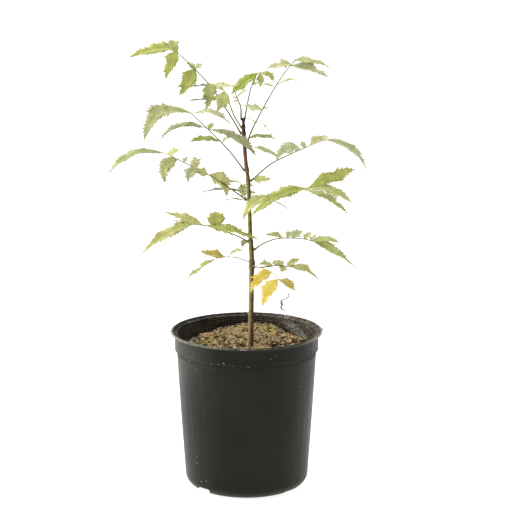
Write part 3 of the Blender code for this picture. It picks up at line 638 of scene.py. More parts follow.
class Paint(Nodes):
    """A material: one Principled shader and a colour that is built up in layers."""

    def __init__(self, name, specular, roughness=0.5):
        self.material = bpy.data.materials.new(name)
        self.material.use_nodes = True
        super().__init__(self.material.node_tree)
        self.shader = self.tree.nodes["Principled BSDF"].inputs
        self.shader["Roughness"].default_value = roughness
        self.shader["Specular IOR Level"].default_value = specular
        self.at = self.node("TexCoord", "Object")
        self.colour = None

    def texture(self, kind, output, scale, *inputs):
        """A texture on object coordinates, at one scale or at three."""
        at = self.at
        if isinstance(scale, tuple):
            at, scale = self.node("Mapping", "Vector", ("Vector", at), ("Scale", scale)), 1
        return self.node(kind, output, ("Vector", at), ("Scale", scale), *inputs)

    def noise(self, scale, detail=4, roughness=0.55):
        return self.texture("TexNoise", "Fac", scale, ("Detail", detail), ("Roughness", roughness))

    def cells(self, scale):
        """Distance to the nearest of scattered points."""
        return self.texture("TexVoronoi", "Distance", scale)

    def tone(self):
        """The mesh's own colours."""
        return self.node("Attribute", "Color", attribute_name="tone")

    def away(self, x, y):
        """Distance from the pot's axis."""
        flat = self.node("CombineXYZ", 0, ("X", x), ("Y", y))
        return self.node("VectorMath", "Value", (0, flat), operation="LENGTH")

    def lay(self, factor, colour):
        """Lays a colour over what is there."""
        self.colour = self.mix(factor, self.colour, colour)

    def tint(self, factor, colour):
        """Multiplies what is there by a colour."""
        self.colour = self.mix(factor, self.colour, colour, "MULTIPLY")

    def done(self, height, strength, distance):
        """The material, with its colour and with bumps of a height."""
        bump = self.node("Bump", "Normal", ("Height", height), ("Strength", strength), ("Distance", distance))
        self.feed(self.shader["Normal"], bump)
        self.feed(self.shader["Base Color"], self.colour)
        return self.material


def leaf_material(name, vein, light, shade, dull):
    """Leaf blade: tone per leaflet, pale midrib and side veins, patches from light to shade.

    A dull blade is greyer and rougher, and its veins are raised instead of sunk.
    """
    g = Paint(name, 0.3, 0.6 if dull else 0.46)
    u, v, _ = g.split(g.node("UVMap", "UV", uv_map="leaf"))
    off = abs(v - 0.5)
    rib = g.band(off, 0, 0.045, 1, 0)
    # Side veins run forward from the midrib: lines of constant u * n - off * k.
    saw = abs(g.math("FRACT", u * 10 - off * 3.4) - 0.5)
    veins = g.band(saw, 0, 0.07, 1, 0) * g.band(off, 0.36, 0.5, 1, 0)
    lines = g.math("MAXIMUM", rib, veins * 0.6)
    mottle = g.noise(520, 5)
    patch = g.noise(120)
    # Patches of painted light and painted shade over the blade.
    g.colour = g.mix(g.band(patch, 0.34, 0.66), light, shade)
    g.tint(1, g.tone())
    g.tint(g.band(mottle, 0.42, 0.72, 0, 0.4), (0.7, 0.76, 0.58))
    # The toothed margin and the strip beside the midrib are deeper.
    g.tint(g.band(off, 0.4, 0.5, 0, 0.5), (0.66, 0.7, 0.66))
    g.tint(g.band(off, 0.06, 0.26, 0.5, 0), (0.78, 0.85, 0.62))
    tip = g.band(u, 0.88, 1) * g.band(patch, 0.4, 0.6)
    g.lay(tip * 0.7, TIP_DRY)
    if dull:
        g.lay(0.35, UNDERSIDE)
    g.lay(lines * 0.35, vein)
    ridge = lines * (1 if dull else -1)
    return g.done(mottle * 0.3 + ridge, 0.4, 0.0002)


def grainy_material(name, specular, roughness, dark, share, bump, depth):
    """The mesh's own tones, darkened in a fine grain from one share to another."""
    g = Paint(name, specular, roughness)
    grain = g.noise(900)
    g.colour = g.tone()
    g.tint(g.band(grain, *share), dark)
    return g.done(grain, bump, depth)


def bark_material():
    """Bark: tan-grey low down, olive in the middle, red-brown then purple-brown at the tip.

    The attribute's first number is high on the painted lit left side of the stem, low on its painted shaded
    right.
    """
    g = Paint("bark", 0.15, 0.75)
    span = g.band(g.split(g.at)[2], 0.163, 0.417)
    pale = g.split(g.tone())[0]
    long_grain = g.noise((1100, 1100, 110), 6, 0.7)
    blotch = g.noise((260, 260, 90))
    # Painted light and shade: the left side takes the lit ramp and the right side the shaded one.
    g.colour = g.mix(pale, g.ramp(span, *BARK_SHADED), g.ramp(span, *BARK_LIT))
    g.tint(g.band(long_grain, 0.4, 0.6, 0, 0.85), (0.45, 0.42, 0.36))
    g.tint(g.band(blotch, 0.55, 0.66, 0, 0.6), (0.5, 0.46, 0.4))
    g.lay(g.band(g.cells((520, 520, 300)), 0.12, 0.2, 0.5, 0), BARK_SPOT)
    return g.done(long_grain + blotch, 0.7, 0.0006)


def pot_material():
    """Black recycled plastic: faint dust, scuffs, scattered pale specks, and painted sheen and light."""
    g = Paint("pot_plastic", POT_GLOSS)
    x, y, z = g.split(g.at)
    cloud = g.noise(16, 5)
    fine = g.noise(900, 3)
    streak = g.noise((70, 70, 6))
    g.colour = g.mix(g.band(cloud, 0.4, 0.7), POT_BLACK, POT_DUSTY)
    g.lay(g.band(streak, 0.6, 0.78, 0, 0.3), POT_DUSTY)
    # Painted sheen on the upper left of the wall, where the left light falls.
    g.lay(g.band(x, -0.078, -0.034, 1, 0) * g.band(z, 0.118, 0.156), LEFT_SHEEN)
    # Dust on the lip. The whole flare is dusty at the left and right; elsewhere just its outer edge is,
    # unevenly, and less at the right front.
    away = g.away(x, y)
    broken = g.band(g.noise(130), 0.36, 0.6, 0.15, 1)
    sideways = g.band(abs(x), 0.055, 0.078) * g.band(away, 0.0795, 0.0805)
    front = g.band(away, 0.0833, 0.084) * broken * g.band(y, 0.02, 0.05, 0.9, 0)
    front = front * g.band(x, 0.004, 0.024, 1, 0.3)
    rim = g.band(z, 0.1748, 0.1768) * g.math("MAXIMUM", sideways, front)
    g.lay(rim * g.band(g.noise(420), 0.3, 0.6, 0.45, 1), LIP_DUST)
    # The upper line is dust; the lower is painted light over the shade in the crease.
    for height, strength in LEDGES:
        ledge = g.band(abs(z - height), 0.0002, 0.0006, strength, 0)
        g.lay(ledge * g.band(cloud, 0.42, 0.58, 0.25, 1), LEDGE_DUST_AND_LIGHT)
    few = g.noise(60, 1)
    chosen = g.band(few, 0.72, 0.73) + g.band(z, 0.11, 0.165) * g.band(few, 0.69, 0.7)
    size = g.band(g.noise(140, 1), 0.3, 0.7, 0.045, 0.1)
    g.lay(g.math("LESS_THAN", g.cells(150), size) * g.math("MINIMUM", chosen, 1), POT_SPECK)
    # The slope under the band is rough and doesn't mirror the floor.
    slope = g.band(abs(z - 0.1556), 0.0024, 0.0032, 1, 0)
    g.feed(g.shader["Roughness"], g.band(cloud, 0.35, 0.7, 0.38, 0.46) + slope * 0.3)
    uneven = g.noise((110, 110, 5), 2)
    return g.done(fine + uneven * 14 + cloud * 3, 0.1, 0.0004)


def inside_material():
    """The pot's inside: purplish black, with mud splashes, a chalky patch at the right and painted ring
    highlights.
    """
    g = Paint("pot_inside", 0.09, 0.65)
    x, y, z = g.split(g.at)
    grain = g.noise(300, 6, 0.7)
    cloud = g.noise(45)
    away = g.away(x, y)
    g.colour = g.mix(g.band(cloud, 0.42, 0.6), INSIDE_BLACK, INSIDE_PURPLE)
    upper = g.math("MAXIMUM", g.band(away, 0.0784, 0.0789), g.band(z, 0.1748, 0.1753))
    g.tint(upper, (0.25, 0.25, 0.25))
    # A painted highlight lies on the upper side of every ring, where the light from above catches it.
    flare = g.math("MAXIMUM", away - 0.0796)
    lap = g.math("FRACT", z * (1000 / RING_PITCH) + flare * 520)
    ring = g.band(abs(lap - 0.5), 0.1, 0.28, 1, 0) * g.band(cloud, 0.36, 0.56, 0.35, 0.9)
    broken = g.band(g.noise(170, 3), 0.42, 0.58, 0.3, 1)
    g.lay(ring * g.mix(upper, (1, 1, 1), broken), RING_HIGHLIGHT)
    g.lay(g.band(x, 0, 0.05) * g.band(grain, 0.42, 0.62, 0.08, 0.85), INSIDE_DUST)
    # Chalk: a tongue that runs down the right-hand wall towards the soil.
    middle = (0.176 - z) * 1.1 + 0.043
    near = g.math("MAXIMUM", 1 - abs(x - middle) * 90)
    chalk = g.band(near * g.band(y, 0, 0.02), 0.1, 0.5) * g.band(grain, 0.42, 0.56)
    g.lay(chalk * g.band(z, 0.1695, 0.1735, 1, 0.25) * 0.9, CHALK)
    g.lay(g.band(grain, 0.62, 0.68, 0, 0.6), MUD)
    few = g.band(g.noise(120, 1), 0.55, 0.6)
    g.lay(g.math("LESS_THAN", g.cells(330), 0.12) * few, INSIDE_SPECK)
    return g.done(grain, 0.5, 0.0007)


def soil_material():
    """Bare or mossy soil by the attribute's first number, dark or light by its second: flecks, painted light
    and shade.
    """
    g = Paint("soil_bed", 0.1, 0.95)
    coarse = g.noise(230, 7, 0.7)
    moss, light, _ = g.split(g.tone())
    g.colour = g.mix(moss, g.ramp(coarse, *SOIL_BARE), g.ramp(coarse, *SOIL_GREEN))
    # Flecks with painted light and shade: the second number lightens or darkens the soil.
    g.tint(1, g.ramp(light, *SOIL_FLECK_AND_SHADE))
    return g.done(coarse, 0.9, 0.0018)


# ---------------- plant
def stem_at(height):
    """The stem's centre and radius at a height."""
    columns = list(zip(*STEM_KNOTS))
    x, y, _, radius = (np.interp(height, columns[2], column) for column in columns)
    return np.array([x, y, height]), radius


def blade_width(t, broadest, taper):
    """Share of the full width at t: a rounded base, then a taper to a drawn-out tip."""
    if t < broadest:
        return math.sin(0.5 * math.pi * t / broadest) ** 0.8
    return max(0, 1 - ((t - broadest) / (1 - broadest)) ** 1.4) ** taper


def coarse_edge(length):
    """(place, factor) corners of the large teeth, as on the solids."""
    if length < SMALL_LEAFLET:
        return [(0, 1), (1, 1)]
    teeth = max(2, min(MOST_TEETH, round(length / TOOTH_PITCH)))
    pitch = (TEETH_END - TEETH_START) / teeth
    corners = [(0, 1), (0.06, 1), (TEETH_START, 1 - TOOTH_DEPTH)]
    for i in range(teeth):
        corners.append((TEETH_START + pitch * (i + 0.74), 1 + TOOTH_DEPTH))
        if i < teeth - 1:
            corners.append((TEETH_START + pitch * (i + 1), 1 - TOOTH_DEPTH))
    return corners + [(0.9, 1), (1, 1)]


def fine_edge(length, rng):
    """(place, height) corners of the small sharp teeth of one half, a few of them long."""
    span = FINE_END - FINE_START
    teeth = max(3, min(MOST_FINE_TEETH, round(length * span / FINE_PITCH)))
    pitch = span / teeth
    corners = [(0, 0), (FINE_START, -0.3)]
    for i in range(teeth):
        peak = FINE_START + pitch * (i + rng.uniform(0.66, 0.86))
        corners.append((peak, rng.uniform(0.1, 1.1) + (0.9 if rng.random() < LONG_TOOTH_SHARE else 0)))
        corners.append((FINE_START + pitch * (i + rng.uniform(0.88, 1)), rng.uniform(-0.8, -0.1)))
    return corners + [(1, 0)]


def leaflet_mesh(root, leaflet, rng):
    """Fine toothed blade: points, faces, uvs and the material index of each face."""
    reach = np.array([leaflet.dx, leaflet.dy, leaflet.dz], float)
    width, arch, bow = leaflet.width, leaflet.arch, leaflet.bow
    length = np.linalg.norm(reach)
    along = reach / length
    tilt = math.radians(leaflet.tilt)
    face = np.array([0, -math.sin(tilt), math.cos(tilt)])
    face = unit(face - along * face.dot(along))
    side = np.cross(face, along)
    if side.dot(np.array([0.3, 0.2, 1])) < 0:
        side = -side
    coarse = np.array(coarse_edge(length))
    edges = [np.array(fine_edge(length, rng)), np.array(fine_edge(length, rng))]
    places = set(np.round(np.linspace(0, 1, BLADE_ROWS), 3))
    for edge in edges:
        places |= set(np.round(edge[:, 0], 3))
    phase, waves, lift = rng.uniform(0, math.tau), rng.uniform(1.6, 2.8), rng.uniform(0.3, 0.8)
    fold, twist = FOLD * rng.uniform(0.6, 1.5), rng.uniform(-0.22, 0.22)
    # A blade that lies flat is longer toothed.
    depth = FINE_DEPTH * width * clamped(0.8 / max(0.1, abs(math.sin(tilt + 0.22))), 1, 2)
    thread = THREAD if leaflet.taper > USUAL_TAPER else THIN_TIP
    rows = []
    for t in sorted(places):
        lobe = 1 + LOBE_SHARE * (np.interp(t, coarse[:, 0], coarse[:, 1]) - 1)
        bulge = 4 * t * (1 - t) * length
        centre = root + reach * t + face * (arch * bulge) + side * (bow * bulge)
        plain = 0.5 * PLUMP * width * blade_width(t, leaflet.broadest, leaflet.taper)
        least = 0.35 * (1 - t) + thread
        across = unit(side - along * (4 * (1 - 2 * t) * bow))
        turn = twist * (t - 0.2)
        up = face * math.cos(turn) - across * math.sin(turn)
        across = across * math.cos(turn) + face * math.sin(turn)
        row = []
        for s in ACROSS:
            half = 1 if s > 0 else 0
            share = BROAD_SIDE if half else 1 - BROAD_SIDE
            uneven = 1 + 0.4 * bumps(4.5 * t, 9 * half, 40 * phase)
            inner = 2 * plain * share * lobe * uneven
            tooth = np.interp(t, edges[half][:, 0], edges[half][:, 1])
            tooth *= depth * min(1, plain / (0.2 * width + 1.2)) * abs(s) ** 2
            out = max((inner + tooth) * abs(s), least * abs(s))
            rise = fold * out - 0.1 * out * abs(s)
            wave = lift * s * s * math.sin(phase + waves * math.tau * t + 1.3 * half)
            wave *= min(1, plain / 3)
            groove = 0.22 * bell(s / 0.1) * min(1, plain / 2.5)
            p = centre + across * math.copysign(out, s) + up * (rise + wave - groove)
            row.append(p + along * 0.8 * tooth)
        rows.append((t, row))
    # The blade is a flat rod: a ring of points runs over its top and back underneath.
    points, uvs = [], []
    for t, row in rows:
        top = list(zip(ACROSS, row))
        for sign, line in ((0.5, top), (-0.5, reversed(top))):
            for s, p in line:
                thick = BLADE * (1 if abs(s) < 1 else 0.4)
                points.append(p + face * sign * thick)
                uvs.append((t, 0.5 + 0.5 * s))
    wide = len(ACROSS)
    faces = rod_faces(len(rows), 2 * wide)
    # The underside's faces start one point on, so that they split along the same diagonals as the top's.
    faces = [f[1:] + f[:1] if i % (2 * wide) >= wide else f for i, f in enumerate(faces)]
    ring = [TOP_FACE] * wide + [UNDER_FACE] * (wide - 1) + [TOP_FACE]
    index = ring * (len(rows) - 1) + [TOP_FACE, TOP_FACE]
    if np.dot(np.cross(face, along), side) > 0:
        faces = [tuple(reversed(f)) for f in faces]
    return points, faces, uvs, index


def tinted(colour, rng, spread=0.08):
    """A display tone made linear, with a small change of brightness and of warmth."""
    red, green, blue = srgb(*colour)
    light = 1 + rng.uniform(-spread, spread)
    warm = rng.uniform(-0.04, 0.04)
    return (red * light * (1 + warm), green * light, blue * light * (1 - warm), 1)


def add_withered(gather, end):
    """The curled brown leaflet that hangs by a thread from the yellow frond's end."""

    def crumple(i, turn):
        return 1 + 0.28 * math.sin(3 * turn + i * 0.7) + 0.16 * math.sin(5 * turn - i)

    line = smooth_path([end + np.array(k[:3]) for k in WITHERED_KNOTS], WITHERED_STEPS)
    radii = [p[0] for p in smooth_path([(k[3], 0, 0) for k in WITHERED_KNOTS], WITHERED_STEPS)]
    tones = [WITHERED_TONES[sum(i >= start for start in WITHERED_STARTS)] for i in range(len(line))]
    gather.add_stalk(line, radii, tones, crumple)


def build_frond(frond, materials):
    """One frond: its stalk, then its leaflets from the table."""
    rng = random.Random(frond.name)
    gather = Gather()
    centre, radius = stem_at(frond.root)
    turn = math.radians(frond.azimuth)
    out = np.array([math.cos(turn), math.sin(turn), 0])
    knots = [centre + out * a + np.array([0, 0, b]) for a, b in [(radius + 1.3, 0), *frond.stalk]]
    path = resample(smooth_path(knots, 12), STALK_STEPS)
    low, high, thick, swelling = ODD_STALKS.get(frond.name, PLAIN_STALK)
    # The stalk starts inside the stem.
    line = [centre + out * (radius * 0.5), *path]
    radii, colours = [], []
    for i in range(len(line)):
        share = i / (len(line) - 1)
        radii.append(thick + (STALK_TIP_RADIUS - thick) * share + swelling * bell(share / 0.045))
        colours.append([a + (b - a) * min(1, share / 0.5) for a, b in zip(low, high)])
    gather.add_stalk(line, radii, colours)
    for row in frond.leaflets:
        leaflet = Leaflet(*row)
        place = min(leaflet.place, LAST_PLACE) * STALK_STEPS
        i = min(int(place), STALK_STEPS - 1)
        root = path[i] + (path[i + 1] - path[i]) * (place - i)
        points, faces, uvs, index = leaflet_mesh(root, leaflet, rng)
        gather.add(points, faces, tinted(TONES[leaflet.tone], rng), uvs, index)
    if frond.name == "frond_yellow":
        add_withered(gather, path[-1])
    name = frond.name + "_leaves"
    looks = (gather.colours, gather.uvs, gather.indices)
    obj = new_object(name, gather.points, gather.faces, materials, True, *looks)
    settle(obj, "yellow_leaf" if frond.name == "frond_yellow" else "leaf", frond.name)


def build_stem(material):
    """Woody stem with knuckles where fronds join, faint ridges and a slight waver."""
    path = resample(smooth_path([k[:3] for k in STEM_KNOTS], 16), 150)
    rng = random.Random(5)
    scars = [(rng.uniform(172, 330), rng.uniform(0, math.tau)) for _ in range(STEM_SCARS)]
    x, y, _, foot = STEM_KNOTS[0]
    radii = [foot] * len(STEM_FOOT)
    for p in path:
        radius = stem_at(p[2])[1]
        radius += sum(0.55 * bell((p[2] - frond.root) / 2.4) for frond in FRONDS)
        radii.append(radius + 0.22 * bumps(0, 0, p[2] / 6))

    def knobs(i, turn):
        z = path[clamped(i - len(STEM_FOOT), 0, len(path) - 1)][2]
        ridge = 1 + 0.03 * bumps(math.cos(turn) * 2, math.sin(turn) * 2, z / 7)
        ridge += 0.02 * bumps(math.cos(turn) * 6, math.sin(turn) * 6, z / 2)
        for height, angle in scars:
            gap = math.remainder(turn - angle, math.tau)
            ridge += 0.22 * hill(z, gap, height, 0, 1.5, 0.5)
        return ridge

    line = [np.array([x, y, height]) for height in STEM_FOOT] + list(path)
    line.append(line[-1] + np.array([0, 0, 1]))
    points, faces = tube(line, radii + [0.35], STEM_SIDES, knobs)
    # Painted light and shade: each point's share of the lit side, lighter at the left and darker at the
    # right.
    pale = []
    for i, p in enumerate(points):
        side = unit((p - line[i // STEM_SIDES])[:2]).dot(STEM_LIT_SIDE) + 0.5 * bumps(*p, 3)
        pale.append((clamped(0.2 + side), 0, 0, 1))
    settle(new_object("stem_bark", points, faces, [material], colours=pale), "bark", "stem")


# ---------------- pot
def lathe(profile, sides, wobble=None):
    """Closed outline (radius, height) turned about Z."""
    points, rows = [], []
    for radius, height in profile:
        if radius == 0:
            rows.append([len(points)] * sides)
            points.append((0, 0, height))
            continue
        rows.append(range(len(points), len(points) + sides))
        for i in range(sides):
            turn = math.tau * i / sides
            points.append(tuple(polar(radius + (wobble(turn, height) if wobble else 0), turn, height)))
    faces = []
    for lower, upper in zip(rows, rows[1:]):
        for i in range(sides):
            j = (i + 1) % sides
            faces.append(tuple(dict.fromkeys((lower[i], lower[j], upper[j], upper[i]))))
    return points, faces


def rounded(corners, radius, steps=4):
    """An open outline with its inner corners rounded."""
    corners = [np.array(c, float) for c in corners]
    out = [corners[0]]
    for a, b, c in zip(corners, corners[1:], corners[2:]):
        cut = min(radius, 0.45 * np.linalg.norm(a - b), 0.45 * np.linalg.norm(c - b))
        first, last = b + unit(a - b) * cut, b + unit(c - b) * cut
        for i in range(steps + 1):
            t = i / steps
            out.append(first * (1 - t) ** 2 + 2 * b * t * (1 - t) + last * t**2)
    return [tuple(p) for p in out + [corners[-1]]]


def wall_radius(height):
    """Outer radius of the pot above its base corner."""
    foot, top, _ = WALL_HEIGHTS
    belly = WALL_BELLY * math.sin(math.pi * clamped((height - foot) / (top - foot)))
    return np.interp(height, WALL_HEIGHTS, WALL_RADII) + belly


def pot_profile():
    """Outline of the shell: base, wall, band step, rolled lip, ringed inside, inner floor."""
    foot, foot_radius = WALL_HEIGHTS[0], WALL_RADII[0]
    corner = []
    for i in range(13):
        turn = math.radians(90 * i / 12)
        radius = BASE_RADIUS + (foot_radius - BASE_RADIUS) * math.sin(turn)
        corner.append((radius, foot * (1 - math.cos(turn))))
    top = WALL_HEIGHTS[1] - 3
    wall = [(wall_radius(height), height) for height in np.linspace(foot, top, 31)[1:]]
    upper = rounded([(wall_radius(top), top), *LIP_OUTLINE], OUTLINE_ROUND)
    rings = []
    for i in range(RINGED_POINTS):
        z = POT_HEIGHT - 3 - i * RINGED_STEP
        ring = RING_HEIGHT * (0.5 + 0.5 * math.sin(math.tau * z / RING_PITCH)) ** 2
        rings.append((wall_radius(z) - WALL - ring, z))
    low = [
        (wall_radius(140) - WALL, 140),
        (foot_radius - WALL, foot),
        (foot_radius - 5, 6),
        (BASE_RADIUS - 1, WALL),
    ]
    return [(0, 0)] + corner + wall + upper + rings + low + [(0, WALL)]


def build_pot(outside, inside):
    """The shell, slightly out of round, with its drains."""

    def wobble(turn, height):
        rise = height / POT_HEIGHT
        return 0.18 * rise * math.sin(2 * turn + 0.6) + 0.09 * rise * math.sin(5 * turn + 1)

    points, faces = lathe(pot_profile(), POT_SIDES, wobble)
    pot = new_object("pot_shell", points, faces, [outside, inside])
    for drain in DRAINS:
        cut_drain(pot, *drain)
    # Faces that look inwards, up to the lip, have the inside's look.
    index = np.zeros(len(pot.data.polygons), np.int32)
    for polygon in pot.data.polygons:
        x, y, z = polygon.center / MM
        top = POT_HEIGHT - (0.2 if y > 30 else 1)
        if 2 < z < top and polygon.normal.x * x + polygon.normal.y * y < -0.2 * math.hypot(x, y):
            index[polygon.index] = 1
    pot.data.polygons.foreach_set("material_index", index)
    pot.data.shade_smooth()
    pot.data.set_sharp_from_angle(angle=math.radians(SHARP_ANGLE))
    settle(pot, "pot", "pot")


def cut_drain(pot, angle, centre, size):
    """Cuts a round-cornered slot where the wall meets the base: centre and size of its box."""
    cutter = added("slot", bpy.data.meshes.new("slot"))
    bm = bmesh.new()
    bmesh.ops.create_cube(bm, size=1)
    bmesh.ops.scale(bm, vec=Vector(size) * MM, verts=bm.verts)
    bmesh.ops.bevel(bm, geom=bm.edges[:], offset=DRAIN_ROUND * MM, segments=4, affect="EDGES", profile=0.5)
    bmesh.ops.translate(bm, vec=Vector(centre) * MM, verts=bm.verts)
    bm.to_mesh(cutter.data)
    bm.free()
    cutter.rotation_euler.z = math.radians(angle)
    cut = pot.modifiers.new("Cut", "BOOLEAN")
    cut.operation = "DIFFERENCE"
    cut.solver = "EXACT"
    cut.object = cutter
    graph = bpy.context.evaluated_depsgraph_get()
    solid = bpy.data.meshes.new_from_object(pot.evaluated_get(graph))
    pot.modifiers.remove(cut)
    pot.data = solid
    bpy.data.objects.remove(cutter, do_unlink=True)


# ---------------- soil
def hollow(x, y):
    """How much the soil is sunk and in painted shade at a few small hollows and in the gap beside the wall.
    """
    sunk = max(hill(x, y, *shape) for shape in HOLLOWS)
    if x > GAP_START:
        middle = GAP_BACK - math.sqrt(max(0, RIM_RADIUS**2 - x * x))
        sunk = max(sunk, min(1, (x - GAP_START) / GAP_GROWTH) * bell((y - middle) / GAP_HALF))
    return sunk


def soil_height(x, y):
    """Crumbly top of the soil: a broad mound that rises to the back, slack beside the wall."""
    reach = math.hypot(x, (y - MOUND_CENTRE_Y) / MOUND_STRETCH)
    near, far = MOUND_REACH
    fade = clamped((reach - near) / (far - near))
    fade = fade * fade * (3 - 2 * fade)
    top = SOIL_TOP_HEIGHT + SOIL_RISE * (y - STEM_KNOTS[0][1])
    for *shape, drop in SOIL_DIPS:
        top -= drop * hill(x, y, *shape)
    crumbs = bumps(x, y, 0, 9) + 0.5 * bumps(x, y, 5, 4)
    top += (SOIL_EDGE_HEIGHT - top) * fade + 2.2 * crumbs
    for *shape, rise in EDGE_HEAPS:
        top += rise * hill(x, y, *shape)
    top += 1.3 * bumps(x, y, 9, 1.9) + 0.8 * bumps(x, y, 2, 0.9)
    return top - HOLLOW_DEPTH * hollow(x, y)


def mossiness(x, y):
    """How green the soil is: patches at the left, at the back right and at the front."""
    green = max(1.3 - math.hypot(x - px, (y - py) * 0.5) / reach for px, py, reach in MOSS_PATCHES)
    return clamped(max(0, green) + 0.55 * bumps(x, y, 30, 9))


def fleck_and_shade(x, y):
    """Brightness of the loose soil in patches a few millimetres across: flecks, painted light and shade."""
    change = bumps(x / 1.7, y / 4.6, 50) + 0.6 * bumps(x / 5.5, y / 14, 60)
    return clamped(1.22 + 3 * change, 0.16, 2.5)


def build_soil(material):
    """The bed: a closed body with a crumbly top."""
    side = [(BASE_RADIUS - 4, SOIL_FOOT_HEIGHT), (WALL_RADII[0] - 8, 7.7)]
    side += [(wall_radius(height) - WALL - 0.8, height) for height in (16, 60, 110, 150)]
    edge = wall_radius(SOIL_EDGE_HEIGHT) - WALL - 1.6
    top = [(edge * (SOIL_RINGS - i) / SOIL_RINGS, SOIL_EDGE_HEIGHT) for i in range(SOIL_RINGS)]
    profile = [(0, SOIL_FOOT_HEIGHT)] + side + top + [(0, SOIL_EDGE_HEIGHT)]
    points, faces = lathe(profile, SOIL_SIDES)
    for i in range(1 + SOIL_SIDES * len(side), len(points)):
        x, y, _ = points[i]
        points[i] = (x, y, soil_height(x, y))
    # The second number is the bed's flecks together with painted light and shade on its lumps.
    looks = [(mossiness(x, y), 0.5 * fleck_and_shade(x, y), 0, 1) for x, y, _ in points]
    settle(new_object("soil_bed", points, faces, [material], colours=looks), "soil", "soil")


def icosphere():
    """Points and faces of a 20-sided ball of radius 1."""
    bm = bmesh.new()
    bmesh.ops.create_icosphere(bm, subdivisions=1, radius=1)
    ball = ([np.array(v.co) for v in bm.verts], [tuple(v.index for v in f.verts) for f in bm.faces])
    bm.free()
    return ball


BALL_POINTS, BALL_FACES = icosphere()


def blob(rng, centre, size, flat=1):
    """A crumb: a 20-sided lump with uneven corners."""
    turn = rng.uniform(0, math.tau)
    c, s = math.cos(turn), math.sin(turn)
    stretch = (size * rng.uniform(0.8, 1.5), size * rng.uniform(0.6, 1.1), size * flat * rng.uniform(0.6, 1))
    tilt = rng.uniform(-0.5, 0.5)
    points = []
    for v in BALL_POINTS:
        x, y, z = v * stretch * rng.uniform(0.72, 1.18)
        y, z = y * math.cos(tilt) - z * math.sin(tilt), y * math.sin(tilt) + z * math.cos(tilt)
        points.append(centre + np.array([x * c - y * s, x * s + y * c, z]))
    return points, BALL_FACES


def spot(rng, reach):
    """A place on the soil, clear of the stem."""
    stem_x, stem_y, clear = STEM_PLACE
    while True:
        radius, turn = reach * math.sqrt(rng.random()), rng.uniform(0, math.tau)
        x, y = radius * math.cos(turn), radius * math.sin(turn)
        if math.hypot(x - stem_x, y - stem_y) > clear:
            return x, y


def crumb_tone(x, y, rng, tones):
    """A tone for something lying at (x, y): mossy, bare, grey beside the left wall or painted shade in a
    hollow.
    """
    # Painted shade: a piece down in a hollow or in the gap takes a dark tone.
    if hollow(x, y) > 0.35:
        return tinted(rng.choice(SHADE_TONES), rng, TONE_SPREAD)
    if rng.random() < 0.8 * mossiness(x, y):
        tones = MOSS_TONES
    elif x < -48 - 0.1 * y:
        tones = SLACK_TONES
    *colour, alpha = tinted(rng.choice(tones), rng, TONE_SPREAD)
    # Crumbs share the bed's flecks and its painted light and shade.
    bright = min(fleck_and_shade(x, y), BRIGHTEST / colour[0])
    return (*(c * bright for c in colour), alpha)


def crumbs(rng):
    """Crumbs all over the soil, then pale clods."""
    for _ in range(CRUMBS):
        x, y = spot(rng, CRUMB_REACH)
        size = rng.choice(CRUMB_SIZES) * rng.uniform(0.8, 1.3)
        if math.hypot(x, y) > LARGE_CRUMBS_FROM and rng.random() < 0.3:
            size *= LARGE_CRUMB
        lump = blob(rng, np.array([x, y, soil_height(x, y) + size * 0.2]), size)
        yield *lump, crumb_tone(x, y, rng, SOIL_TONES)
    for x, y, size in CLODS:
        lump = blob(rng, np.array([x, y, soil_height(x, y) + size * 0.3]), size, 0.8)
        yield *lump, (*srgb(*CLOD_TONE), 1)


def chips(rng):
    """Flakes and splinters of bark lying on the soil."""
    for _ in range(CHIPS):
        x, y = spot(rng, CHIP_REACH)
        length, width = rng.uniform(2, 6), rng.uniform(0.8, 2.2)
        turn, pitch = rng.uniform(0, math.tau), rng.uniform(-0.35, 0.35)
        along = polar(math.cos(pitch), turn, math.sin(pitch))
        across = unit(np.cross(along, (rng.uniform(-0.3, 0.3), rng.uniform(-0.3, 0.3), 1)))
        up = np.cross(across, along)
        centre = np.array([x, y, soil_height(x, y) + 0.7])
        outline = []
        for i in range(7):
            turn = math.tau * i / 7
            end = along * (0.5 * length * math.cos(turn) * rng.uniform(0.7, 1.1))
            outline.append(end + across * (0.5 * width * math.sin(turn) * rng.uniform(0.7, 1.1)))
        thick = rng.uniform(0.2, 0.5)
        points = [centre + o + up * side for side in (thick, -thick) for o in outline]
        yield points, rod_faces(2, 7), crumb_tone(x, y, rng, SOIL_TONES[:4])


def wall_grains(rng):
    """Soil grains and chalky crumbs stuck to the inside of the wall, thickest at the right."""
    count = 0
    while count < WALL_GRAINS:
        turn = rng.uniform(-0.35, math.pi + 0.35)
        crowd = 0.16 + 0.84 * bell((turn - 0.8) / 0.6)
        if rng.random() > crowd:
            continue
        count += 1
        z = POT_HEIGHT - 1 - 16 * rng.random() ** 1.3
        if z < POT_HEIGHT - 3:
            radius = wall_radius(z) - WALL - 0.3
        else:
            radius = LIP_INNER_RADIUS + rng.uniform(0, 3.4)
        size = rng.choice((0.25, 0.35, 0.5, 0.7))
        tone = tinted(rng.choice(GRAIN_TONES), rng, TONE_SPREAD)
        yield *blob(rng, polar(radius, turn, z), size), tone


def outside_grains(rng):
    """Dust grains on the pot's outside, then mud flecks on its lip."""
    dust = [(angle, wall_radius(z) + 0.15, z, size, PALE_GRAIN) for angle, z, size in OUTSIDE_GRAINS]
    for angle, radius, z, size, tone in [*dust, *LIP_FLECKS]:
        yield *blob(rng, polar(radius, math.radians(angle), z), size), (*srgb(*GRAIN_TONES[tone]), 1)


